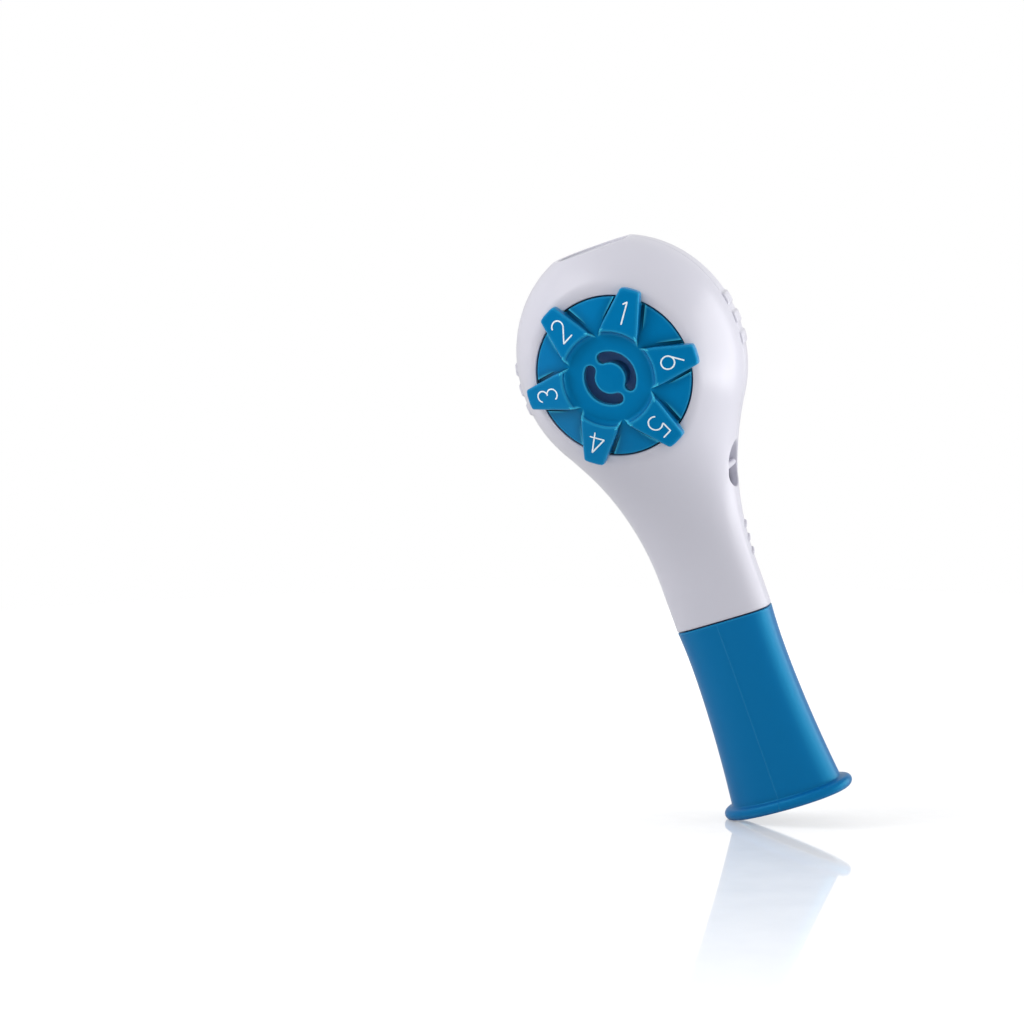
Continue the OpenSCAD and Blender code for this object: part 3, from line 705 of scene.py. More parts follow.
@dataclass
class Shell:
    """One moulded half of the housing, drawn at the front and turned for the rear.

    Attributes:
        side: The side that its dial points to.
        seam_r: Rounding of the edge along the seam.
        seam_sink: How deep that rounding goes, over its radius.
        recess_t: Depth of the dial's recess.
        floor_t: Thickness of the recess floor.
        lip_r: Rounding of the recess's outer edge.
        rim_w: Width of the rim round the top dish.
        dish_t: Depth of that dish.
        bar_rise: Height of the middle grip bar above the head's centre.
        bar_pitch: Distance between grip bars.
        bar_len: Length of a bar along the side.
        bar_reach: Reach of a bar from the seam.
        bar_soft: Rounding of its edges.
        bar_band: Height past the outer bars where the skin's rows are close.
        bar_row: Distance of the rows there.
        raise_t: How far bars and ribs stand proud.
        rib_rise: Height of the middle neck rib above the joint.
        rib_pitch: Distance between ribs.
        rib_w: Width of a rib.
        rib_start: Distance of a rib's start from the seam.
        rib_reach: Reach of a rib from there.
        rib_soft: Rounding of its edges.
        rib_slant: Slant of the ribs, in degrees.
        rib_band: Heights below and above the middle rib where the skin's rows are close.
        rib_row: Distance of the rows there.
        pitch: Distance of the rows along the neck.
        sweep_row: Distance of the rows between ribs and bars.
        eye_share: Place of the lanyard eye between joint and head centre.
        eye_len: Length of that eye.
        eye_w: Its width.
        eye_t: Its depth.
        eye_lip: Rounding of its edge.
        eye_foot: Rounding of its bottom.
        eye_boss_t: Wall round it, inside the neck.
        journal_r: Radius of the bore for the dial's post.
        port_share: Distance of the air port from the dial axis, in shares of the recess radius.
        port_r: Radius of the port.
        seal_r: Radius of the ring cut for its seal.
        seal_t: Depth of that ring.
        socket_r: Radius of the collar for the valve, under the port.
        socket_low: Its lower end, from the middle plane.
        seat_r: Radius of its bore for the valve seat.
        seat_low: Lower end of that bore, from the middle plane.
        seat_top: Its upper end.
        throat_r: Radius of the narrower bore above it.
        post_share: Distance of the line-up posts from the dial axis, in shares of the head's radius.
        post_turn: Their turn from the level line, in degrees.
        post_boss_r: Radius of the bosses that carry them.
        post_r: Radius of a post.
        post_len: How far it stands past the middle plane.
        hole_r: Radius of the hole for it.
        hole_t: Depth of that hole.
    """

    side: Side
    seam_r: float = 0.3
    seam_sink: float = 0.8
    recess_t: float = 5.0
    floor_t: float = 2.0
    lip_r: float = 0.28
    rim_w: float = 1.2
    dish_t: float = 0.6
    bar_rise: float = 1.6
    bar_pitch: float = 5.2
    bar_len: float = 3.2
    bar_reach: float = 8.5
    bar_soft: float = 0.7
    bar_band: float = 2.6
    bar_row: float = 0.26
    raise_t: float = 0.5
    rib_rise: float = 16.8
    rib_pitch: float = 3.5
    rib_w: float = 1.0
    rib_start: float = 0.3
    rib_reach: float = 2.6
    rib_soft: float = 0.4
    rib_slant: float = 30.0
    rib_band: tuple[float, float] = (4.6, 5.8)
    rib_row: float = 0.22
    pitch: float = 0.8
    sweep_row: float = 0.75
    eye_share: float = 0.527
    eye_len: float = 11.0
    eye_w: float = 8.2
    eye_t: float = 4.0
    eye_lip: float = 0.35
    eye_foot: float = 0.7
    eye_boss_t: float = 1.3
    journal_r: float = 3.05
    port_share: float = 0.6
    port_r: float = 2.7
    seal_r: float = 4.15
    seal_t: float = 1.2
    socket_r: float = 6.3
    socket_low: float = 5.2
    seat_r: float = 5.2
    seat_low: float = 4.2
    seat_top: float = 8.6
    throat_r: float = 4.75
    post_share: float = 0.865
    post_turn: float = 42.0
    post_boss_r: float = 2.4
    post_r: float = 1.2
    post_len: float = 3.0
    hole_r: float = 1.27
    hole_t: float = 3.07
    form: HousingForm = field(default_factory=lambda: FORM)

    # Inward steps of the dish's wall, each with its share of the dish's depth
    DISH: ClassVar[Profile] = ((0.06, 0.2), (0.13, 0.5), (0.24, 0.8), (0.45, 0.95), (0.8, 1.0), (2.6, 1.0))

    @property
    def name(self) -> str:
        """The shell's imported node."""
        return "rear_shell" if self.side.turned else "front_shell"

    @property
    def bars(self) -> list[float]:
        """Heights of the three grip bars."""
        middle = self.form.head_h + self.bar_rise
        return [middle + step * self.bar_pitch for step in (-1, 0, 1)]

    @property
    def eye_h(self) -> float:
        """Height of the lanyard eye's middle."""
        return self.form.joint_h + self.eye_share * (self.form.head_h - self.form.joint_h)

    def _heights(self) -> Points:
        """Heights of the skin's rows: close together where bars and ribs are."""
        form = self.form
        rib = form.joint_h + self.rib_rise
        dense_low, dense_high = rib - self.rib_band[0], rib + self.rib_band[1]
        bar_low, bar_high = self.bars[0] - self.bar_band, self.bars[2] + self.bar_band
        start = math.asin((bar_high - form.head_h) / form.head_top_r)
        end = math.asin(form.crown_share)
        return np.concatenate(
            [
                form.joint_h + np.array([0, 0.03, 0.1, 0.2]),
                np.arange(form.joint_h + self.pitch, dense_low, self.pitch),
                np.arange(dense_low, dense_high, self.rib_row),
                np.arange(dense_high, bar_low, self.sweep_row),
                np.arange(bar_low, bar_high, self.bar_row),
                form.head_h + form.head_top_r * np.sin(np.linspace(start, end, 46)),
            ]
        )

    def _angles(self, depth: float, squareness: float) -> Points:
        """Section angles of one row, closest together along the two seams."""
        near = np.array([0, 0.03, 0.08, 0.16]) / depth
        seam = np.arcsin(near ** (squareness / 2))
        first = np.arcsin((self.seam_r / depth) ** (squareness / 2))
        span, band = math.pi / 2 - first, 0.27  # bars and ribs lie within this share
        marked = first + span * np.linspace(0, band, 31)
        front = first + span * np.linspace(band, 1, 47)[1:]
        quarter = np.concatenate([seam, marked, front])
        return np.concatenate([quarter, math.pi - quarter[-2::-1]])

    def _row(self, a: float, b: float, e: float, z: float, depth: float) -> Points:
        """One row of the skin: half an oval on the dial's side, flattened at the dial face.

        Args:
            a: Half width of the oval.
            b: Half depth of the oval.
            e: Its squareness.
            z: Its height.
            depth: The half depth that spaces its points.

        Returns:
            Points from the right seam round to the left one.
        """
        x, y = oval(a, b, e, self._angles(depth, e))
        y = soft_min(np.abs(y), self.form.face_t, self.form.face_blend)
        x[[0, -1]], y[[0, -1]] = (a, -a), 0
        return at_height(x, -np.maximum(y, 0), z)

    def _skin(self) -> Points:
        """The rows of the outer skin, from the joint up over the top rim and into the dish."""
        form = self.form
        rows = []
        for z in self._heights():
            a, b = float(form.half_width(z)), float(form.half_depth(z))
            row = self._row(a, b, float(form.squareness(z)), z, b)
            row[:, 2] += form.bow(row[:, 1]) * form.bow_share(z)
            rows.append(row)
        end = self.seam_r * self.seam_sink
        for row, share in zip(rows[:4], (1, 0.5, 0.18, 0)):
            row[:, 0] *= 1 - end * share / form.neck_a
            row[:, 1] *= 1 - end * share / form.neck_b
        top, dish = form.total_h, self.dish_t
        a, b = float(form.half_width(top)), float(form.half_depth(top))
        rim = [(0.12, 0.02), (0.3, 0.02), (self.rim_w - 0.2, 0.02), (self.rim_w - 0.05, 0.06)]
        steps = rim + [(self.rim_w + inward, dish * share) for inward, share in self.DISH]
        for inward, drop in steps:
            rows.append(self._row(a - inward, b - inward, form.head_e, top - drop, b))
        inward = steps[-1][0]
        for width in (1.2, 0.6, self.seam_r, 0.16, 0.08, 0.03, 0):
            rows.append(self._row(a - inward, width, form.head_e, top - dish, b))
        return np.array(rows)

    def _marks(self, skin: Points) -> Points:
        """How far each point of the skin is raised by bars and ribs or sunk along the seam."""
        x, reach, z = skin[..., 0], -skin[..., 1], skin[..., 2]
        left = x < 0

        def pad(along: Points, across: Points, soft: float) -> Points:
            """A soft-edged patch: one where both distances are negative, and zero outside."""
            edge = np.hypot(np.maximum(along + soft, 0), np.maximum(across + soft, 0))
            share = np.clip(1 - edge / soft, 0, 1)
            return np.sqrt(np.clip(1 - (1 - share) ** 2, 0, 1))

        lift = np.zeros_like(x)
        half = self.bar_reach / 2
        for bar in self.bars:
            patch = pad(np.abs(z - bar) - self.bar_len / 2, np.abs(reach - half) - half, self.bar_soft)
            lift = np.maximum(lift, patch)
        if self.side.turned:
            slant, half = math.radians(self.rib_slant), self.rib_reach / 2
            for step in (-1, 0, 1):
                rise = z - self.form.joint_h - self.rib_rise - step * self.rib_pitch
                along = reach * math.cos(slant) + rise * math.sin(slant)
                across = rise * math.cos(slant) - reach * math.sin(slant)
                length = np.abs(along - half - self.rib_start) - half
                lift = np.maximum(lift, pad(length, np.abs(across) - self.rib_w / 2, self.rib_soft))
        near = np.clip(self.seam_r - reach, 0, self.seam_r)
        seam = self.seam_r - np.sqrt(self.seam_r**2 - near**2)
        return np.where(left, lift * self.raise_t, 0) - seam * self.seam_sink

    @staticmethod
    def _normals(skin: Points) -> Points:
        """Unit normals of a grid of points."""
        along, across = np.gradient(skin, axis=0), np.gradient(skin, axis=1)
        normal = np.cross(across, along)
        length = np.linalg.norm(normal, axis=2, keepdims=True)
        return normal / np.maximum(length, 1e-9)

    def _outer(self) -> bpy.types.Object:
        """The outer form as one solid, flat on the middle plane."""
        skin = self._skin()
        normal = self._normals(skin)
        top = self.form.total_h
        level = int(np.argmax(skin[:, 0, 2] >= top - 1e-6)) + 1
        if normal[level // 2, skin.shape[1] // 2, 1] > 0:
            normal *= -1
        normal[level:] = (0, 0, 1)
        normal[:, [0, -1], 1] = 0
        skin = skin + normal * self._marks(skin)[..., None]
        skin[:, [0, -1], 1] = 0
        skin[-1, :, 1] = 0
        rows, columns = skin.shape[:2]
        faces = grid_faces(rows, columns, False)
        base = int(np.argmax(skin[:, 0, 2] > top - self.dish_t - 0.4)) - 1
        floor = int(np.argmax(skin[level:, 0, 2] < top - self.dish_t * 0.99)) + level

        def right(i: int) -> int:
            """The point where row i meets the right seam."""
            return i * columns

        def left(i: int) -> int:
            """The point where row i meets the left seam."""
            return i * columns + columns - 1

        faces += [(right(i), right(i + 1), left(i + 1), left(i)) for i in range(base)]
        faces += [tuple(end(i) for i in range(base, floor + 1)) for end in (right, left)]
        across = [(rows - 1) * columns + j for j in range(1, columns - 1)]
        inner = list(range(floor, rows))
        faces.append((right(base), *map(right, inner), *across, *map(left, reversed(inner)), left(base)))
        half = columns // 2
        faces += [(j, j + 1, columns - 2 - j, columns - 1 - j) for j in range(half - 1)]
        faces.append((half - 1, half, half + 1))
        return solid(self.name + "_skin", self._turn(skin.reshape(-1, 3)), faces)

    def _turn(self, points: Points) -> Points:
        """Turns points drawn for the front shell to this shell's side."""
        return points * (-1, -1, 1) if self.side.turned else points

    def _chamber(self) -> bpy.types.Object:
        """The hollow inside, a wall within the skin."""
        form = self.form
        top = form.total_h - form.crown_t
        round_r = form.tall_share * (form.head_r - form.wall)
        end = math.asin((top - form.head_h) / round_r)
        heights = np.concatenate(
            [
                [form.joint_h - 3],
                np.linspace(form.sweep_low_h, form.head_h, 44),
                form.head_h + round_r * np.sin(np.linspace(0, end, 26)[1:]),
            ]
        )
        under = form.face_t - self.recess_t - self.floor_t
        angle = np.linspace(0, 2 * math.pi, 96, endpoint=False)
        rows = []
        for z in heights:
            a, b, e = form.half_width(z, form.wall), form.half_depth(z, form.wall), form.squareness(z)
            x, y = oval(a, b, e, angle)
            y = np.sign(y) * np.maximum(soft_min(np.abs(y), under, 0.4), 0)
            rows.append(at_height(x, y, z))
        return stack("chamber", rows)

    def _eye_cutter(self) -> bpy.types.Object:
        """The pocket of the lanyard eye, wrapped on the skin so that its lip is even."""
        form, half = self.form, self.eye_w / 2
        straight = self.eye_len / 2 - half
        lip, foot = self.eye_lip, self.eye_foot
        bottom = self.eye_t - foot
        steps = [(-1.2 * OVERRUN, lip), (0, lip), *lip_steps(lip), (bottom, 0.0)]
        turns = np.radians([30, 60, 90])
        steps += [(bottom + foot * math.sin(t), -foot * (1 - math.cos(t))) for t in turns]
        way = -1 if self.side.turned else 1
        skin_x = float(form.half_width(self.eye_h))
        rows = []
        for deep, grow in steps:
            radius = half + grow
            upper = arc((0, straight), radius, 0, 180, 32)
            lower = arc((0, -straight), radius, 180, 360, 32)
            outline = np.concatenate([upper, lower])
            y, z = outline[:, 0], outline[:, 1] + self.eye_h
            a, b, e = form.half_width(z), form.half_depth(z), form.squareness(z)
            surface = a * (1 - (np.abs(y) / b) ** e) ** (1 / e)
            level = np.clip(deep / self.eye_t, 0, 1)
            x = (surface - deep) * (1 - level) + (skin_x - self.eye_t) * level
            rows.append(np.stack([way * x, y, z], 1))
        placed = [self._turn(row) for row in rows]
        return stack("eye_pocket", placed)

    def _eye_boss(self) -> bpy.types.Object:
        """The closed back of the lanyard eye, inside the neck, on this shell's half."""
        form, more = self.form, self.eye_boss_t
        half = self.eye_w / 2 + more
        straight = self.eye_len / 2 + more - half
        ends = (arc((0, straight), half, 0, 90, 24), arc((0, -straight), half, 270, 360, 24))
        outline = np.concatenate(ends)
        way = -1 if self.side.turned else 1
        reach = form.half_width(self.eye_h)
        rows = []
        for x in (reach - self.eye_t - more, reach + 4 * OVERRUN):
            y = -np.maximum(outline[:, 0], 0)
            rows.append(self._turn(np.stack([np.full(len(y), way * x), y, outline[:, 1] + self.eye_h], 1)))
        return stack("eye_boss", rows)

    def build(self, finishes: Finishes) -> bpy.types.Object:
        """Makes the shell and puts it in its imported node's place.

        Args:
            finishes: The built materials.

        Returns:
            The finished shell.
        """
        form, side = self.form, self.side
        floor = form.face_t - self.recess_t
        under = floor - self.floor_t
        chamber = self._chamber()
        carve(chamber, self._eye_boss())
        carve(chamber, drum(self.port_at, self.socket_r, self.socket_low, under + OVERRUN, side))
        posts = [(a * self.post_at[0], b * self.post_at[1]) for a in (-1, 1) for b in (-1, 1)]
        for at in posts:
            carve(chamber, drum(at, self.post_boss_r, 0, under + OVERRUN, side))
        shell = self._outer()
        carve(shell, chamber)
        for at in posts:
            if at[0] < 0:
                carve(shell, drum(at, self.hole_r, -OVERRUN, self.hole_t, side))
            else:
                carve(shell, drum(at, self.post_r, -self.post_len, OVERRUN, side), "UNION")
        lip, far = self.lip_r, form.face_t + 3 * OVERRUN
        mouth_r = form.recess_r + lip
        rounding = arc((mouth_r, form.face_t - lip), lip, 180, 90, 6)
        recess = [(0, floor), (form.recess_r, floor), *rounding, (mouth_r, far), (0, far)]
        carve(shell, turned("recess", recess, side))
        carve(shell, drum((0, 0), self.journal_r, under - 4 * OVERRUN, floor + OVERRUN, side))
        bores = (
            (self.port_r, under - OVERRUN, floor + OVERRUN),
            (self.seal_r, floor - self.seal_t, floor + OVERRUN),
            (self.seat_r, self.seat_low, self.seat_top),
            (self.throat_r, self.socket_low, under),
        )
        for radius, low, high in bores:
            carve(shell, drum(self.port_at, radius, low, high, side))
        carve(shell, self._eye_cutter())
        finish_mesh(shell)
        shell.name = self.name + "_moulding"
        finishes.dress(shell, Slot.HOUSING)
        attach(shell, Body.HOUSING.value)
        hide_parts(self.name)
        return shell

    @property
    def port_at(self) -> tuple[float, float]:
        """Place of the air port beside the dial axis."""
        radius, angle = self.port_share * self.form.recess_r, math.radians(self.form.index_turn)
        return (radius * math.cos(angle), radius * math.sin(angle))

    @property
    def post_at(self) -> tuple[float, float]:
        """Place of the line-up posts beside the dial axis."""
        radius, angle = self.post_share * self.form.head_r, math.radians(self.post_turn)
        return (radius * math.cos(angle), radius * math.sin(angle))


# The dials

DIGIT_STROKES: dict[int, list[Points]] = {
    1: [np.array([(-0.13, 0.86), (0.04, 1.0), (0.04, 0.0)])],
    2: [np.concatenate([arc((0, 0.72), 0.28, 165, -38, 18), [(-0.28, 0.0), (0.3, 0.0)]])],
    3: [
        np.concatenate([arc((0, 0.745), 0.25, 160, -90, 20)[:-1], [(0.0, 0.5)]]),
        arc((0, 0.255), 0.255, 90, -160, 20),
    ],
    4: [np.array([(0.12, 0.0), (0.12, 1.0), (-0.34, 0.26), (0.34, 0.26)])],
    5: [
        np.concatenate(
            [[(0.26, 1.0), (-0.2, 1.0), (-0.25, 0.56)], arc((-0.01, 0.31), 0.31, 128, -140, 22)]
        )
    ],
    6: [np.concatenate([[(0.12, 1.0)], arc((0, 0.29), 0.29, 157, 157 + 360, 40)])],
}


@dataclass
class Dial:
    """One numbered resistance dial.

    Attributes:
        side: The side it points to.
        settings: How many tabs it has.
        run_gap: Gap between the dial and its recess.
        recess_t: Depth of that recess.
        hub_h: Height of the hub above the dial face.
        hub_share: Radius of the hub, in shares of the recess radius.
        shoulder: How far the hub's edge is softened.
        wall: Thickness of the moulded top.
        skirt_wall: Thickness of the skirt round it.
        skirt_t: Depth of the channel inside the skirt.
        plenum_r: Radius of the space for the metering disc.
        plenum_wall: Wall round that space.
        disc_ledge: Ledge that the disc rests on.
        disc_lift: Height of the disc above the skirt's foot.
        disc_t: Thickness of the disc.
        post_r: Radius of the post above the disc.
        journal_r: Radius of the post below it.
        post_end: The post's lower end, from the middle plane.
        tab_in_share: Inner radius of the tabs, in such shares.
        tab_reach: Reach of the tabs past the recess wall.
        tab_in_w_share: Width of a tab at its inner end, in such shares.
        tab_out_w_share: Width of a tab at its tip.
        tab_in_h: Height of a tab's inner end above the dial face.
        tab_out_h: Height of a tab's tip.
        tip_r: Radius of the tip's corners.
        tip_bow: How far the tip bows out.
        edge_r: Rounding of the tabs' upper edges.
        foot_r: Radius of the hollow curve between hub and tabs.
        slot_in_share: Inner radius of the air slots, in shares of the recess radius.
        slot_out_share: Their outer radius.
        slot_span: Angle between the middles of a slot's round ends.
        slot_turn: Turn of the slots' middles from the index.
        slot_lip: Rounding of the slots' edge.
        groove_w: Width of the grooves beside the tabs.
        groove_t: Their depth at the rim.
        groove_in_t: Their depth at the hub.
        rim_r: Rounding of the sectors' outer edge.
        rim_land: How far that edge lies below the dial face.
        digit_h: Height of the numbers.
        digit_at: Distance of their middle from the axis.
        stroke: Width of their line.
        print_t: Its height.
    """

    side: Side
    settings: int
    run_gap: float = 0.35
    recess_t: float = 5.0
    hub_h: float = 3.3
    hub_share: float = 0.58
    shoulder: float = 0.9
    wall: float = 1.6
    skirt_wall: float = 1.95
    skirt_t: float = 2.5
    plenum_r: float = 15.4
    plenum_wall: float = 0.9
    disc_ledge: float = 0.5
    disc_lift: float = 0.5
    disc_t: float = 1.2
    post_r: float = 3.4
    journal_r: float = 3.0
    post_end: float = 8.5
    tab_in_share: float = 0.59
    tab_reach: float = 2.3
    tab_in_w_share: float = 0.485
    tab_out_w_share: float = 0.265
    tab_in_h: float = 4.9
    tab_out_h: float = 2.0
    tip_r: float = 0.8
    tip_bow: float = 0.12
    edge_r: float = 0.5
    foot_r: float = 1.5
    slot_in_share: float = 0.195
    slot_out_share: float = 0.332
    slot_span: float = 129.0
    slot_turn: float = 30.0
    slot_lip: float = 0.2
    groove_w: float = 0.8
    groove_t: float = 1.3
    groove_in_t: float = 0.3
    rim_r: float = 0.22
    rim_land: float = 0.1
    digit_h: float = 5.5
    digit_at: float = 16.7
    stroke: float = 0.37
    print_t: float = 0.05
    form: HousingForm = field(default_factory=lambda: FORM)

    @property
    def name(self) -> str:
        """The dial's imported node."""
        return f"{self.side.value}_dial"

    @property
    def body(self) -> Body:
        """The body that it turns with."""
        return Body.EXHALE_KNOB if self.side.turned else Body.INHALE_KNOB

    @property
    def edge(self) -> float:
        """Radius of the sectors' outer edge."""
        return self.form.recess_r - self.run_gap

    @property
    def hub_r(self) -> float:
        """Radius of the hub."""
        return self.hub_share * self.form.recess_r

    @property
    def tab_in_r(self) -> float:
        """Inner radius of the tabs."""
        return self.tab_in_share * self.form.recess_r

    @property
    def tab_out_r(self) -> float:
        """Outer radius of the tabs."""
        return self.form.recess_r + self.tab_reach

    def _place(self, points: Points, turn: float) -> Points:
        """Turns points drawn along x to a place on the dial."""
        spin = np.array(Matrix.Rotation(math.radians(turn), 3, "Z"))
        return self.form.at_dial(points @ spin.T, self.side)

    def _sector_h(self, radius: Points) -> Points:
        """Height of the sloping sectors above the dial face."""
        drop = self.hub_h + self.rim_land
        return self.hub_h - drop * (radius - self.hub_r) / (self.edge - self.hub_r)

    def _tab_top(self, radius: Points) -> Points:
        """Height of the tabs' upper face above the dial face."""
        span = self.tab_out_r + 1 - self.tab_in_r
        return self.tab_in_h + (self.tab_out_h - self.tab_in_h) * (radius - self.tab_in_r) / span

    def _round(self) -> bpy.types.Object:
        """Hub, sloping sectors, skirt and post, turned as one solid."""
        face, hub, edge = self.form.face_t, self.hub_r, self.edge
        crown, soft = face + self.hub_h, self.shoulder
        base = face - self.recess_t + self.run_gap
        disc_low = base + self.disc_lift
        disc_top = disc_low + self.disc_t
        channel = base + self.skirt_t

        def slope(radius: float) -> float:
            """Distance of the sectors' face from the middle plane."""
            return face + float(self._sector_h(radius))

        slope_at = hub + soft
        halfway = slope_at * 0.5 + hub * 0.5
        rim = arc((edge - self.rim_r, slope(edge) - self.rim_r), self.rim_r, 72, 0, 5)
        rim[0, 1] = slope(rim[0, 0])
        skirt, plenum = edge - self.skirt_wall, self.plenum_r
        outside, ledge = plenum + self.plenum_wall, plenum - self.disc_ledge
        profile = [
            (0, crown),
            (hub - soft, crown),
            (hub - soft * 0.4, crown - 0.03),
            (hub, crown - 0.09),
            (halfway, slope(halfway) - 0.03),
            (slope_at, slope(slope_at)),
            *rim,
            (edge, base),
            (skirt, base),
            (skirt, channel),
            (outside, channel),
            (outside, disc_low),
            (plenum, disc_low),
            (plenum, disc_top),
            (ledge, disc_top),
            (ledge, slope(ledge) - self.wall),
            (hub - self.wall, crown - self.wall),
            (self.post_r, crown - self.wall),
            (self.post_r, disc_top),
            (self.journal_r, disc_top),
            (self.journal_r, self.post_end),
            (0, self.post_end),
        ]
        return turned(self.name + "_round", profile, self.side)

    def _tab_half(self, radius: float) -> float:
        """Half width of a tab at a distance along it."""
        recess = self.form.recess_r
        share = (radius - self.tab_in_r) / (self.tab_out_r - self.tab_in_r)
        wide, narrow = self.tab_in_w_share * recess / 2, self.tab_out_w_share * recess / 2
        return wide + (narrow - wide) * share

    def _tab_outline(self, draw: float) -> tuple[Points, Points]:
        """Outline of a tab that points along x, drawn anticlockwise.

        Args:
            draw: How far its hollow inner end is drawn towards the hub.

        Returns:
            The outline, and for each point 1 on the hollow end and 0 elsewhere.
        """
        inner = self.tab_in_r - draw
        half = self._tab_half(inner)
        angle = math.degrees(math.asin(half / inner))
        tip, radius = self.tab_out_r, self.tip_r
        narrow = self._tab_half(tip)
        hollow = arc((0, 0), inner, angle, -angle, 24)
        low = arc((tip - radius, -narrow + radius), radius, -80, 0, 7)
        high = arc((tip - radius, narrow - radius), radius, 0, 80, 7)
        fixed = np.array([self.tab_in_r, -self._tab_half(self.tab_in_r)])
        side_low = np.linspace(fixed, low[0], 9)[1:-1]
        side_high = np.linspace(high[-1], fixed * (1, -1), 9)[1:-1]
        across = np.linspace(low[-1][1], high[0][1], 6)[1:-1]
        bulge = np.array([(tip + self.tip_bow, y) for y in across])
        parts = (hollow, side_low, low, bulge, high, side_high)
        marks = [np.full(len(part), float(part is hollow)) for part in parts]
        return np.concatenate(parts), np.concatenate(marks)

    def _tab(self, turn: float) -> bpy.types.Object:
        """One tab with rounded upper edges and a hollow curve down to the hub."""
        edge, foot_r, sunk = self.edge_r, self.foot_r, self.wall * 0.8
        face, hub = self.form.face_t, self.form.face_t + self.hub_h
        rows = []
        rest, hollow = self._tab_outline(0)
        top = face + self._tab_top(np.hypot(*rest.T)) - edge
        low = face + self._sector_h(np.hypot(*rest.T)) - sunk
        drawn, _ = self._tab_outline(foot_r)
        rows.append(np.column_stack([drawn, np.where(hollow > 0, hub - sunk, low)]))
        for step, angle in enumerate(np.radians(np.linspace(0, 88, 8))):
            drawn, _ = self._tab_outline(foot_r * (1 - math.sin(angle)))
            curve = hub - 0.01 + foot_r * (1 - math.cos(angle))
            side = low + (top - low) * (step + 1) / 9
            height = np.where(hollow > 0, np.minimum(curve, top - 0.01), side)
            rows.append(np.column_stack([drawn, height]))
        for angle in np.radians((0, 18, 36, 54, 72, 90)):
            flat = inset_outline(rest, edge * (1 - math.cos(angle)))
            height = face + self._tab_top(np.hypot(*flat.T)) - edge * (1 - math.sin(angle))
            rows.append(np.column_stack([flat, height]))
        flat = inset_outline(rest, edge + 0.3)
        rows.append(np.column_stack([flat, face + self._tab_top(np.hypot(*flat.T))]))
        return stack("tab", [self._place(row, turn) for row in rows])

    def _tip_clearance(self) -> bpy.types.Object:
        """The ring of space between the tabs' tips and the housing."""
        face, edge = self.form.face_t, self.edge - 0.1
        far = self.tab_out_r + 1
        profile = [(edge, face + 0.35), (far, face + 0.35), (far, face - 8), (edge, face - 8)]
        return turned("tip_clearance", profile, self.side, ring=True)

    def _grooves(self, turn: float) -> list[bpy.types.Object]:
        """The two grooves beside a tab, which deepen towards the rim."""
        face, made = self.form.face_t, []
        inner = (self.tab_in_r - 0.2, self.groove_in_t)
        outer = (self.edge + OVERRUN, self.groove_t + 0.12)
        for way in (-1, 1):
            rows = []
            for radius, deep in (inner, outer):
                near = self._tab_half(radius) - 0.3
                far = near + 0.3 + self.groove_w
                brim = face + float(self._sector_h(min(radius, self.edge)))
                floor = brim - deep
                top = brim + 6 * OVERRUN
                outside = [(far + 0.12, top), (far + 0.12, brim + 0.02), (far, brim - 0.1)]
                section = [*outside, (far - 0.1, floor), (near, floor), (near, top)]
                points = np.array([(radius, way * y, z) for y, z in section])
                rows.append(self._place(points, turn))
            made.append(stack("groove", rows))
        return made

    def _slot(self, turn: float) -> bpy.types.Object:
        """One arc slot with round ends and a softened edge."""
        recess, half = self.form.recess_r, self.slot_span / 2
        middle = (self.slot_in_share + self.slot_out_share) * recess / 2
        end_r = (self.slot_out_share - self.slot_in_share) * recess / 2
        lip, top = self.slot_lip, self.form.face_t + self.hub_h

        def outline(grow: float) -> Points:
            """The slot's outline, grown evenly."""
            ends = [math.radians(a) for a in (turn - half, turn + half)]
            centres = [(middle * math.cos(a), middle * math.sin(a)) for a in ends]
            return np.concatenate(
                [
                    arc((0, 0), middle + end_r + grow, turn - half, turn + half, 48)[:-1],
                    arc(centres[1], end_r + grow, turn + half, turn + half + 180, 16)[:-1],
                    arc((0, 0), middle - end_r - grow, turn + half, turn - half, 48)[:-1],
                    arc(centres[0], end_r + grow, turn - half + 180, turn - half + 360, 16)[:-1],
                ]
            )

        steps = [(top + OVERRUN, lip), (top, lip)]
        steps += [(top - deep, grow) for deep, grow in lip_steps(lip)]
        steps.append((top - self.wall - 0.5 * OVERRUN, 0.0))
        rows = [at_height(*outline(grow).T, height) for height, grow in steps]
        return stack("slot", [self.form.at_dial(row, self.side) for row in rows])

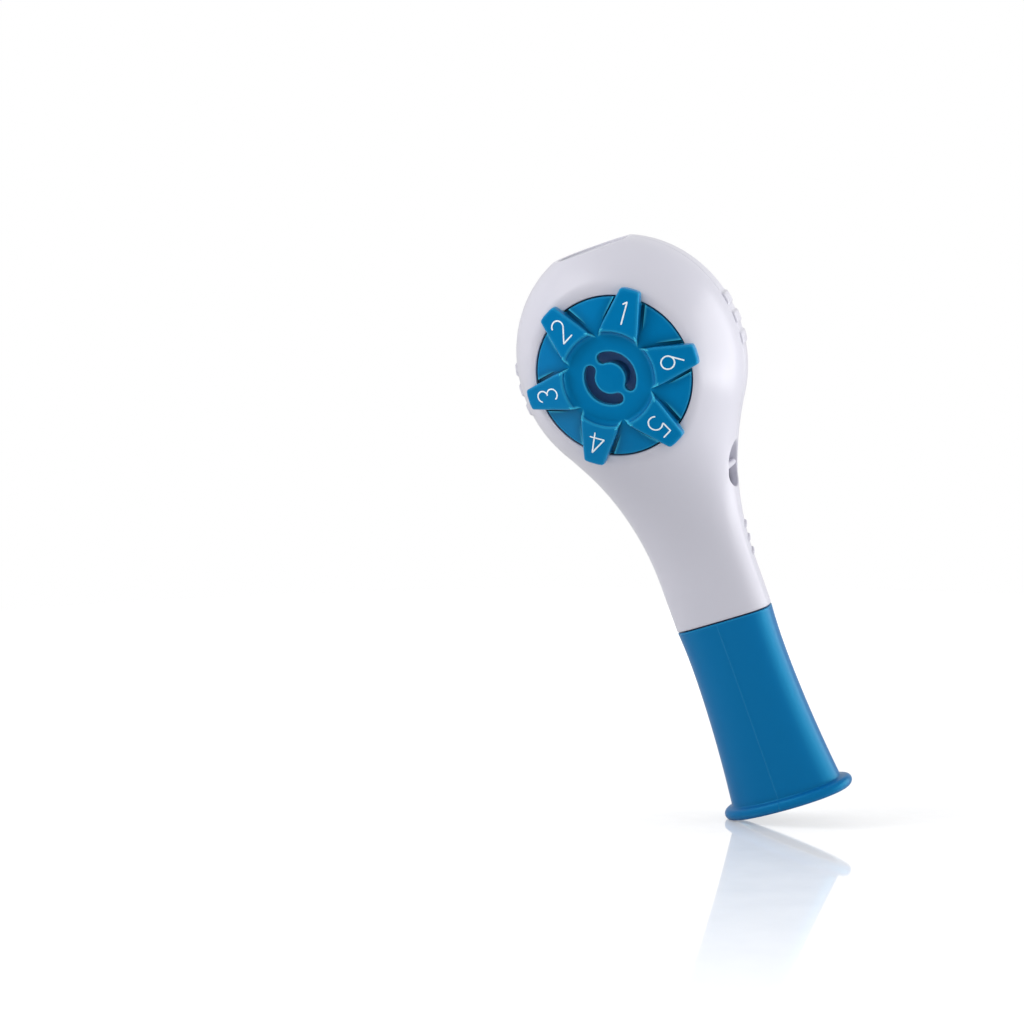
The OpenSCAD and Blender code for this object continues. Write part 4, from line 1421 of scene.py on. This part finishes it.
    def _digit(self, number: int, turn: float) -> tuple[Points, list[Face]]:
        """The raised line of one number, as a closed ribbon with round ends.

        Args:
            number: The number.
            turn: The tab's turn from the index.

        Returns:
            Points and faces.
        """
        points: list[Points] = []
        faces: list[Face] = []
        count = 0
        right = [(0, 1), (0.6, 0.85), (0.92, 0.35), (1, -0.6)]
        section = np.array([(-x, y) for x, y in right[:0:-1]] + right)
        for stroke in DIGIT_STROKES[number]:
            path = self._even_path(stroke * self.digit_h, self.stroke / 7)
            step = np.gradient(path, axis=0)
            step /= np.maximum(np.linalg.norm(step, axis=1, keepdims=True), 1e-9)
            across = np.stack([step[:, 1], -step[:, 0]], 1)
            far = np.minimum(np.arange(len(path)), np.arange(len(path))[::-1]) * self.stroke / 7
            half = self.stroke / 2
            width = half * np.sqrt(np.clip(1 - (1 - np.minimum(far / half, 1)) ** 2, 0.02, 1))
            rows = []
            for at, side_way, wide in zip(path, across, width):
                flat = at + side_way * (section[:, :1] * wide)
                x, y = flat[:, 1] + self.digit_at - self.digit_h / 2, -flat[:, 0]
                z = self.form.face_t + self._tab_top(np.hypot(x, y)) + section[:, 1] * self.print_t
                rows.append(np.stack([x, y, z], 1))
            placed = self._place(np.concatenate(rows), turn)
            faces += [tuple(i + count for i in cell) for cell in tube_faces(len(rows), len(section))]
            points.append(placed)
            count += len(placed)
        return np.concatenate(points), faces

    @staticmethod
    def _even_path(path: Points, pitch: float) -> Points:
        """Spaces the points of a path evenly."""
        lengths = np.concatenate([[0], np.cumsum(np.linalg.norm(np.diff(path, axis=0), axis=1))])
        keep = np.concatenate([[True], np.diff(lengths) > 1e-6])
        path, lengths = path[keep], lengths[keep]
        at = np.linspace(0, lengths[-1], max(3, int(lengths[-1] / pitch)))
        return np.stack([np.interp(at, lengths, path[:, k]) for k in (0, 1)], 1)

    def build(self, finishes: Finishes) -> list[bpy.types.Object]:
        """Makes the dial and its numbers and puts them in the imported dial's place.

        Args:
            finishes: The built materials.

        Returns:
            The dial and its numbers.
        """
        index = self.form.index_turn
        turns = [index + 360 * number / self.settings for number in range(1, self.settings + 1)]
        dial = self._round()
        for turn in turns:
            for groove in self._grooves(turn):
                carve(dial, groove)
        for turn in turns:
            tab = self._tab(turn)
            carve(tab, self._tip_clearance())
            carve(dial, tab, "UNION")
        for half_turn in (0, 180):
            carve(dial, self._slot(index + self.slot_turn + half_turn))
        finish_mesh(dial)
        dial.name = self.name + "_moulding"
        finishes.dress(dial, Slot.DIAL)
        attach(dial, self.body.value)
        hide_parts(self.name)
        made = [dial]
        for number, turn in enumerate(turns, 1):
            digit = solid(f"{self.name}_number_{number}", *self._digit(number, turn))
            finish_mesh(digit)
            digit.data.materials.append(finishes.digits)
            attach(digit, self.body.value)
            made.append(digit)
        return made


# The mouthpiece


@dataclass
class Sleeve:
    """The soft mouthpiece sleeve with its flared end and rounded rim.

    Attributes:
        rim_a: Half width of the rim.
        rim_b: Half depth of the rim.
        rim_h: Height of the rim.
        rim_turn: Where the rim's rounding ends, in degrees above its middle.
        heel: Height that the sleeve takes to meet the rim.
        mouth_a: Half width just above the rim.
        mouth_b: Half depth just above the rim.
        wall: Thickness of the sleeve.
        waist_drop: From the joint down to the waist.
        waist_in: How far the waist is drawn in at the sides.
        waist_in_b: And at the front and back.
        flare_power: How late the flare comes.
        mouth_e: Squareness of the mouth's oval.
        joint_gap: Open line between sleeve and housing.
        spigot_out_len: Length of the spigot inside the sleeve.
        spigot_gap: From the neck's inner wall to the sleeve's bore.
        line_w: Width of the mould line.
        line_t: Its height.
        line_from: Where on the rim's rounding it starts, in radians.
        lip_r: Rounding of the bore's mouth.
    """

    rim_a: float = 17.2
    rim_b: float = 9.6
    rim_h: float = 2.9
    rim_turn: float = 76.0
    heel: float = 0.4
    mouth_a: float = 14.7
    mouth_b: float = 7.9
    wall: float = 1.85
    waist_drop: float = 10.2
    waist_in: float = 0.4
    waist_in_b: float = 0.2
    flare_power: float = 1.8
    mouth_e: float = 2.2
    joint_gap: float = 0.3
    spigot_out_len: float = 22.0
    spigot_gap: float = 0.03
    line_w: float = 0.34
    line_t: float = 0.12
    line_from: float = -1.2
    lip_r: float = 0.6
    form: HousingForm = field(default_factory=lambda: FORM)

    # Inward steps of the upper end's rounding, each with its drop below the joint
    END: ClassVar[Profile] = ((0.02, 0.5), (0.08, 0.4), (0.22, 0.32), (0.4, 0.3))

    def _halves(self, z: float) -> tuple[float, float]:
        """Half width and half depth of the sleeve at height z."""
        waist = self.form.joint_h - self.waist_drop
        flare = max(0.0, (waist - z) / (waist - self.rim_h)) ** self.flare_power
        flush = max(0.0, (z - waist) / self.waist_drop) ** 2
        waist_a, waist_b = self.form.neck_a - self.waist_in, self.form.neck_b - self.waist_in_b
        a = waist_a + (self.mouth_a - waist_a) * flare + (self.form.neck_a - waist_a) * flush
        b = waist_b + (self.mouth_b - waist_b) * flare + (self.form.neck_b - waist_b) * flush
        return a, b

    def _angles(self) -> Points:
        """Section angles, closest together at the mould line in front and behind."""
        fine = np.concatenate([np.linspace(0, 0.06, 10), np.linspace(0.06, math.pi / 2, 34)[1:]])
        quarter = math.pi / 2 - fine[::-1]
        front = np.concatenate([quarter, math.pi - quarter[-2::-1]])
        return np.concatenate([front, front[1:-1] + math.pi])

    def _row(self, a: float, b: float, e: float, z: float, line: float) -> Points:
        """One row of the sleeve, with the mould line raised by `line`."""
        x, y = oval(a, b, e, self._angles())
        ridge = np.exp(-((x / (self.line_w / 2)) ** 2)) * line
        return at_height(x, y + np.sign(y) * ridge, z)

    def _top_row(self, a: float, b: float, drop: float) -> Points:
        """A row along the bowed upper end of the sleeve."""
        row = self._row(a, b, self.form.neck_e, self.form.joint_h - drop, 0)
        row[:, 2] += self.form.bow(row[:, 1])
        return row

    def _outside(self) -> list[Points]:
        """The rows from the rim's lower side up to the joint."""
        form, rim_r, e = self.form, self.rim_h / 2, self.mouth_e
        rows = []
        for t in np.radians(np.linspace(-90, self.rim_turn, 20)):
            draw = rim_r * (1 - math.cos(t))
            line = self.line_t if t > self.line_from else 0.0
            rows.append(self._row(self.rim_a - draw, self.rim_b - draw, e, rim_r * (1 + math.sin(t)), line))
        heel_z = rows[-1][0, 2]
        heel_draw = rim_r * (1 - math.cos(math.radians(self.rim_turn)))
        top_z, low_z = form.joint_h, self.rim_h + self.heel
        a, b = self._halves(low_z)
        wide, deep = self.rim_a - heel_draw - a, self.rim_b - heel_draw - b
        for share in (0.35, 0.65, 0.9):
            z = heel_z + (low_z - heel_z) * share**1.2
            keep = (1 - share) ** 1.6
            rows.append(self._row(a + wide * keep, b + deep * keep, e, z, self.line_t))
        for z in np.linspace(low_z, top_z - 0.55, 64):
            share = (z - self.rim_h) / (top_z - self.rim_h)
            row = self._row(*self._halves(z), e + (form.neck_e - e) * share, z, self.line_t)
            row[:, 2] += form.bow(row[:, 1]) * form.bow_share(z)
            rows.append(row)
        return rows

    def _inside(self) -> list[Points]:
        """The rows from the joint in over the upper end and down the bore."""
        form, rim_r = self.form, self.rim_h / 2
        a, b = self._halves(form.joint_h)
        bore_a, bore_b = (half - form.wall + self.spigot_gap for half in (form.neck_a, form.neck_b))
        bore_h = form.joint_h - self.spigot_out_len
        rows = [self._top_row(a - inward, b - inward, drop) for inward, drop in self.END]
        rows.append(self._top_row(bore_a + 0.25, bore_b + 0.25, 0.3))
        rows.append(self._top_row(bore_a, bore_b, 0.55))
        rows += [self._row(bore_a, bore_b, form.neck_e, z, 0) for z in (40.0, bore_h)]
        for z in np.linspace(bore_h - self.joint_gap, rim_r, 24):
            a, b = self._halves(z)
            rows.append(self._row(a - self.wall, b - self.wall, self.mouth_e, z, 0))
        a, b = self._halves(0)
        for t in np.radians((30, 60, 90)):
            grow = self.lip_r * (1 - math.cos(t))
            height = rim_r * 0.55 * (1 - math.sin(t))
            rows.append(self._row(a - self.wall + grow, b - self.wall + grow, self.mouth_e, height, 0))
        return rows

    def build(self, finishes: Finishes) -> bpy.types.Object:
        """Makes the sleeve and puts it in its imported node's place.

        Args:
            finishes: The built materials.

        Returns:
            The sleeve.
        """
        grid = np.array(self._outside() + self._inside())
        faces = grid_faces(grid.shape[0], grid.shape[1], True, True)
        sleeve = solid("mouthpiece_moulding", grid.reshape(-1, 3), faces)
        finish_mesh(sleeve)
        finishes.dress(sleeve, Slot.SLEEVE)
        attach(sleeve, Body.MOUTHPIECE.value)
        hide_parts("mouthpiece_sleeve")
        return sleeve


# The stage


@dataclass(frozen=True)
class PhotoCamera:
    """The camera of the photograph, fitted to the part's sizes.

    Attributes:
        focal_px: Focal length in pixels of the 1024 pixel frame.
        frame_px: Side of that frame.
        target_h: Height of the aim point, in millimetres.
        yaw: Turn of the view about the upright axis, in degrees.
        pitch: How far the view looks down, in degrees.
        roll: Lean of the frame, in degrees.
        shift_right: How far the aim point lies right of the frame's middle, in millimetres.
        shift_up: And above it.
        distance: From the camera to the aim point, in millimetres.
    """

    focal_px: float = 3500.0
    frame_px: float = 1024.0
    target_h: float = 78.0
    yaw: float = 21.576
    pitch: float = 6.774
    roll: float = -19.968
    shift_right: float = 43.982
    shift_up: float = -0.496
    distance: float = 877.38

    def axes(self) -> tuple[Vector, Vector, Vector]:
        """The camera's right, up and forward directions."""
        yaw, pitch, roll = (math.radians(v) for v in (self.yaw, self.pitch, self.roll))
        near = math.cos(pitch)
        forward = Vector((-math.sin(yaw) * near, math.cos(yaw) * near, -math.sin(pitch)))
        level = Vector((math.cos(yaw), math.sin(yaw), 0))
        upright = level.cross(forward)
        right = level * math.cos(roll) + upright * math.sin(roll)
        up = upright * math.cos(roll) - level * math.sin(roll)
        return right, up, forward

    def build(self) -> bpy.types.Object:
        """Makes the camera and gives it to the scene."""
        right, up, forward = self.axes()
        place = Vector((0, 0, self.target_h)) - right * self.shift_right
        place = place - up * self.shift_up - forward * self.distance
        data = bpy.data.cameras.new("photo_camera")
        data.sensor_width = 36
        data.lens = self.focal_px / self.frame_px * data.sensor_width
        data.clip_start, data.clip_end = 0.01, 20
        camera = bpy.data.objects.new("photo_camera", data)
        turn = Matrix((right, up, -forward)).transposed().to_4x4()
        camera.matrix_world = Matrix.Translation(place * MM) @ turn
        bpy.context.scene.collection.objects.link(camera)
        bpy.context.scene.camera = camera
        return camera


@dataclass
class Studio:
    """Pale floor, white surround and soft lamps.

    Attributes:
        camera: The photograph's camera, whose lean the floor follows.
        ambient: Strength of the surround on the object.
        mirrored: Strength of the surround in its gloss.
        aim_h: Height that the lamps point at, in millimetres.
        rim_a: Half width of the ring that the mouthpiece stands on.
        rim_b: Half depth of that ring.
        rim_h: Its height.
        rim_r: Rounding of the rim there.
        floor_r: Radius of the floor patch, in millimetres.
        floor_steps: Points round that patch.
        floor_pitch: How far the camera looks down on the floor, in degrees.
        floor_glow: White that the camera sees on the floor besides its lit colour.
        mirror: Share of mirror image where the mouthpiece stands.
        mirror_reach: Share of the floor's radius where that image has gone.
    """

    camera: PhotoCamera
    ambient: float = 0.56
    mirrored: float = 0.58
    aim_h: float = 100.0
    rim_a: float = 17.0
    rim_b: float = 9.4
    rim_h: float = 0.7
    rim_r: float = 0.35
    floor_r: float = 480.0
    floor_steps: int = 96
    floor_pitch: float = 6.0
    floor_glow: float = 0.49
    mirror: float = 0.58
    mirror_reach: float = 0.6

    def _world(self) -> None:
        """A white surround for camera and clear rays, and a softer one for gloss and light."""
        world = bpy.data.worlds.new("surround")
        bpy.context.scene.world = world
        world.use_nodes = True
        bench = Bench(world.node_tree)
        seen = bench.node("ShaderNodeLightPath", {}, "Is Camera Ray")
        clear = bench.node("ShaderNodeLightPath", {}, "Is Transmission Ray")
        mirror = bench.node("ShaderNodeLightPath", {}, "Is Glossy Ray")
        strength = (seen + clear) * (1 - self.ambient)
        strength = strength + mirror * (self.mirrored - self.ambient) + self.ambient
        glow = bench.node("ShaderNodeBackground", {"Color": (1, 1, 1, 1), "Strength": strength})
        bench.node("ShaderNodeOutputWorld", {"Surface": glow})

    def _lamp(
        self, name: str, offset: Sequence[float], size: float, power: float, mirrored: bool = True
    ) -> None:
        """A soft square lamp that points at the head.

        Args:
            name: The lamp's name.
            offset: Its place from the head in the photograph's right, up and towards the camera, in metres.
            size: Its side in metres.
            power: Its power in watts.
            mirrored: Whether glossy surfaces show it.
        """
        right, up, forward = self.camera.axes()
        aim = Vector((0, 0, self.aim_h * MM))
        place = aim + right * offset[0] + up * offset[1] - forward * offset[2]
        data = bpy.data.lights.new(name, "AREA")
        data.shape = "SQUARE"
        data.size = size
        data.energy = power
        lamp = bpy.data.objects.new(name, data)
        lamp.visible_glossy = mirrored
        turn = (aim - place).to_track_quat("-Z", "Y").to_matrix().to_4x4()
        lamp.matrix_world = Matrix.Translation(place) @ turn
        bpy.context.scene.collection.objects.link(lamp)

    def _floor(self) -> bpy.types.Object:
        """A pale glossy floor, level in the photograph, whose mirror image fades towards the camera."""
        right, up, forward = self.camera.axes()
        lean = math.radians(self.floor_pitch)
        normal = (up * math.cos(lean) - forward * math.sin(lean)).normalized()
        along = right.cross(normal).normalized()
        rim = [
            Vector((self.rim_a * math.cos(t), self.rim_b * math.sin(t), self.rim_h))
            for t in np.linspace(0, 2 * math.pi, 120)
        ]
        contact = min(rim, key=lambda p: p.dot(normal)) - normal * self.rim_r
        steps, shares = self.floor_steps, (1, 0.8, 0.6, 0.4, 0.2)
        angles = np.linspace(0, 2 * math.pi, steps, endpoint=False)
        ways = [right * math.cos(t) + along * math.sin(t) for t in angles]
        rings = [[tuple(contact + way * self.floor_r * share) for way in ways] for share in shares]
        points = np.concatenate([*rings, [tuple(contact)]])
        last = len(points) - 1
        inner = last - steps
        faces = grid_faces(len(shares), steps, True)
        faces += [(inner + j, inner + (j + 1) % steps, last) for j in range(steps)]
        mesh = bpy.data.meshes.new("floor")
        mesh.from_pydata((points * MM).tolist(), [], faces)
        floor = bpy.data.objects.new("floor", mesh)
        bpy.context.scene.collection.objects.link(floor)
        mesh.materials.append(self._floor_material(contact * MM))
        return floor

    def _floor_material(self, contact: Vector) -> bpy.types.Material:
        """White with a mirror share that is strongest where the mouthpiece stands.

        Args:
            contact: Where it touches the floor, in metres.

        Returns:
            The material, clear at the floor's outer edge.
        """
        material = bpy.data.materials.new("pale_floor")
        material.use_nodes = True
        bench = Bench(material.node_tree)
        place = bench.node("ShaderNodeTexCoord", {}, "Object")
        ends = {0: place, 1: tuple(contact)}
        away = bench.node("ShaderNodeVectorMath", ends, "Value", operation="DISTANCE")
        reach = self.floor_r * MM

        def fade(start: float, end: float, low: float, high: float) -> Socket:
            """A value that runs from low to high between two shares of the floor's radius."""
            spans = {"From Min": reach * start, "From Max": reach * end, "To Min": low, "To Max": high}
            return bench.node("ShaderNodeMapRange", {"Value": away, **spans})

        mirror = fade(0.0, self.mirror_reach, self.mirror, 0.0) * (0.92 + bench.noise(90, 2) * 0.16)
        white = bench.node("ShaderNodeBsdfDiffuse", {"Color": (0.8, 0.8, 0.81, 1)})
        seen = bench.node("ShaderNodeLightPath", {}, "Is Camera Ray")
        glow = bench.node("ShaderNodeEmission", {"Color": (1, 1, 1, 1), "Strength": seen * self.floor_glow})
        lit = bench.node("ShaderNodeAddShader", {0: white, 1: glow})
        gloss = bench.node("ShaderNodeBsdfAnisotropic", {"Color": (1, 1, 1, 1), "Roughness": 0.05})
        both = bench.node("ShaderNodeMixShader", {0: mirror, 1: lit, 2: gloss})
        gone = bench.node("ShaderNodeBsdfTransparent", {})
        edge = fade(0.8, 0.98, 0.0, 1.0)
        surface = bench.node("ShaderNodeMixShader", {0: edge, 1: both, 2: gone})
        bench.node("ShaderNodeOutputMaterial", {"Surface": surface})
        return material

    def build(self) -> None:
        """Sets the colour view, the surround, the floor and the lamps."""
        bpy.context.scene.view_settings.view_transform = "Standard"
        self._world()
        self._floor()
        self._lamp("left", (-0.8, 0.75, 0.4), 0.6, 0.9)
        self._lamp("near", (-0.34, 0.24, 0.08), 0.22, 0.9, mirrored=False)
        self._lamp("front", (0.85, -0.1, 0.7), 0.6, 1.6)
        self._lamp("side", (0.98, 0.15, 0.02), 1.1, 8.2)
        self._lamp("low", (0.85, -0.5, 0.1), 0.9, 7.4)
        self._lamp("back", (0.2, 0.5, -0.9), 0.8, 0.5)


# Assembly


INNER_NODES: dict[str, Slot] = {
    "metering_disc": Slot.INNER,
    "dial_clip": Slot.STEEL,
    "dial_washer": Slot.INNER,
    "port_seal": Slot.SEAL,
    "detent_spring": Slot.STEEL,
    "valve_seat": Slot.INNER,
    "valve_flap": Slot.SILICONE,
    "flap_pin": Slot.INNER,
}


def dress_packed_nodes(nodes: dict[str, bpy.types.Object], finishes: Finishes) -> None:
    """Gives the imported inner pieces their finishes.

    Args:
        nodes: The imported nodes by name.
        finishes: The built materials.
    """
    wanted = {"mouthpiece_spigot": Slot.INNER, "lanyard_bar": Slot.HOUSING}
    for side in Side:
        wanted.update({f"{side.value}_{part}": slot for part, slot in INNER_NODES.items()})
    for name, slot in wanted.items():
        finishes.dress_node(nodes[name], slot)
        log.info("%s wears %s", name, FINISHES[slot].name)


def report(piece: bpy.types.Object) -> None:
    """Logs a finished piece."""
    log.info("%s has %d faces", piece.name, len(piece.data.polygons))


def main() -> None:
    """Builds the dressed trainer, its stage and its camera."""
    logging.basicConfig(level=logging.INFO, format="%(name)s: %(message)s")
    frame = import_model()
    camera = PhotoCamera()
    camera.build()
    Studio(camera).build()
    finishes = Finishes()
    dress_packed_nodes(frame["nodes"], finishes)
    for side in Side:
        report(Shell(side).build(finishes))
    for dial in (Dial(Side.INHALE, 6), Dial(Side.EXHALE, 5)):
        for piece in dial.build(finishes):
            report(piece)
    report(Sleeve().build(finishes))


if __name__ == "__main__":
    main()
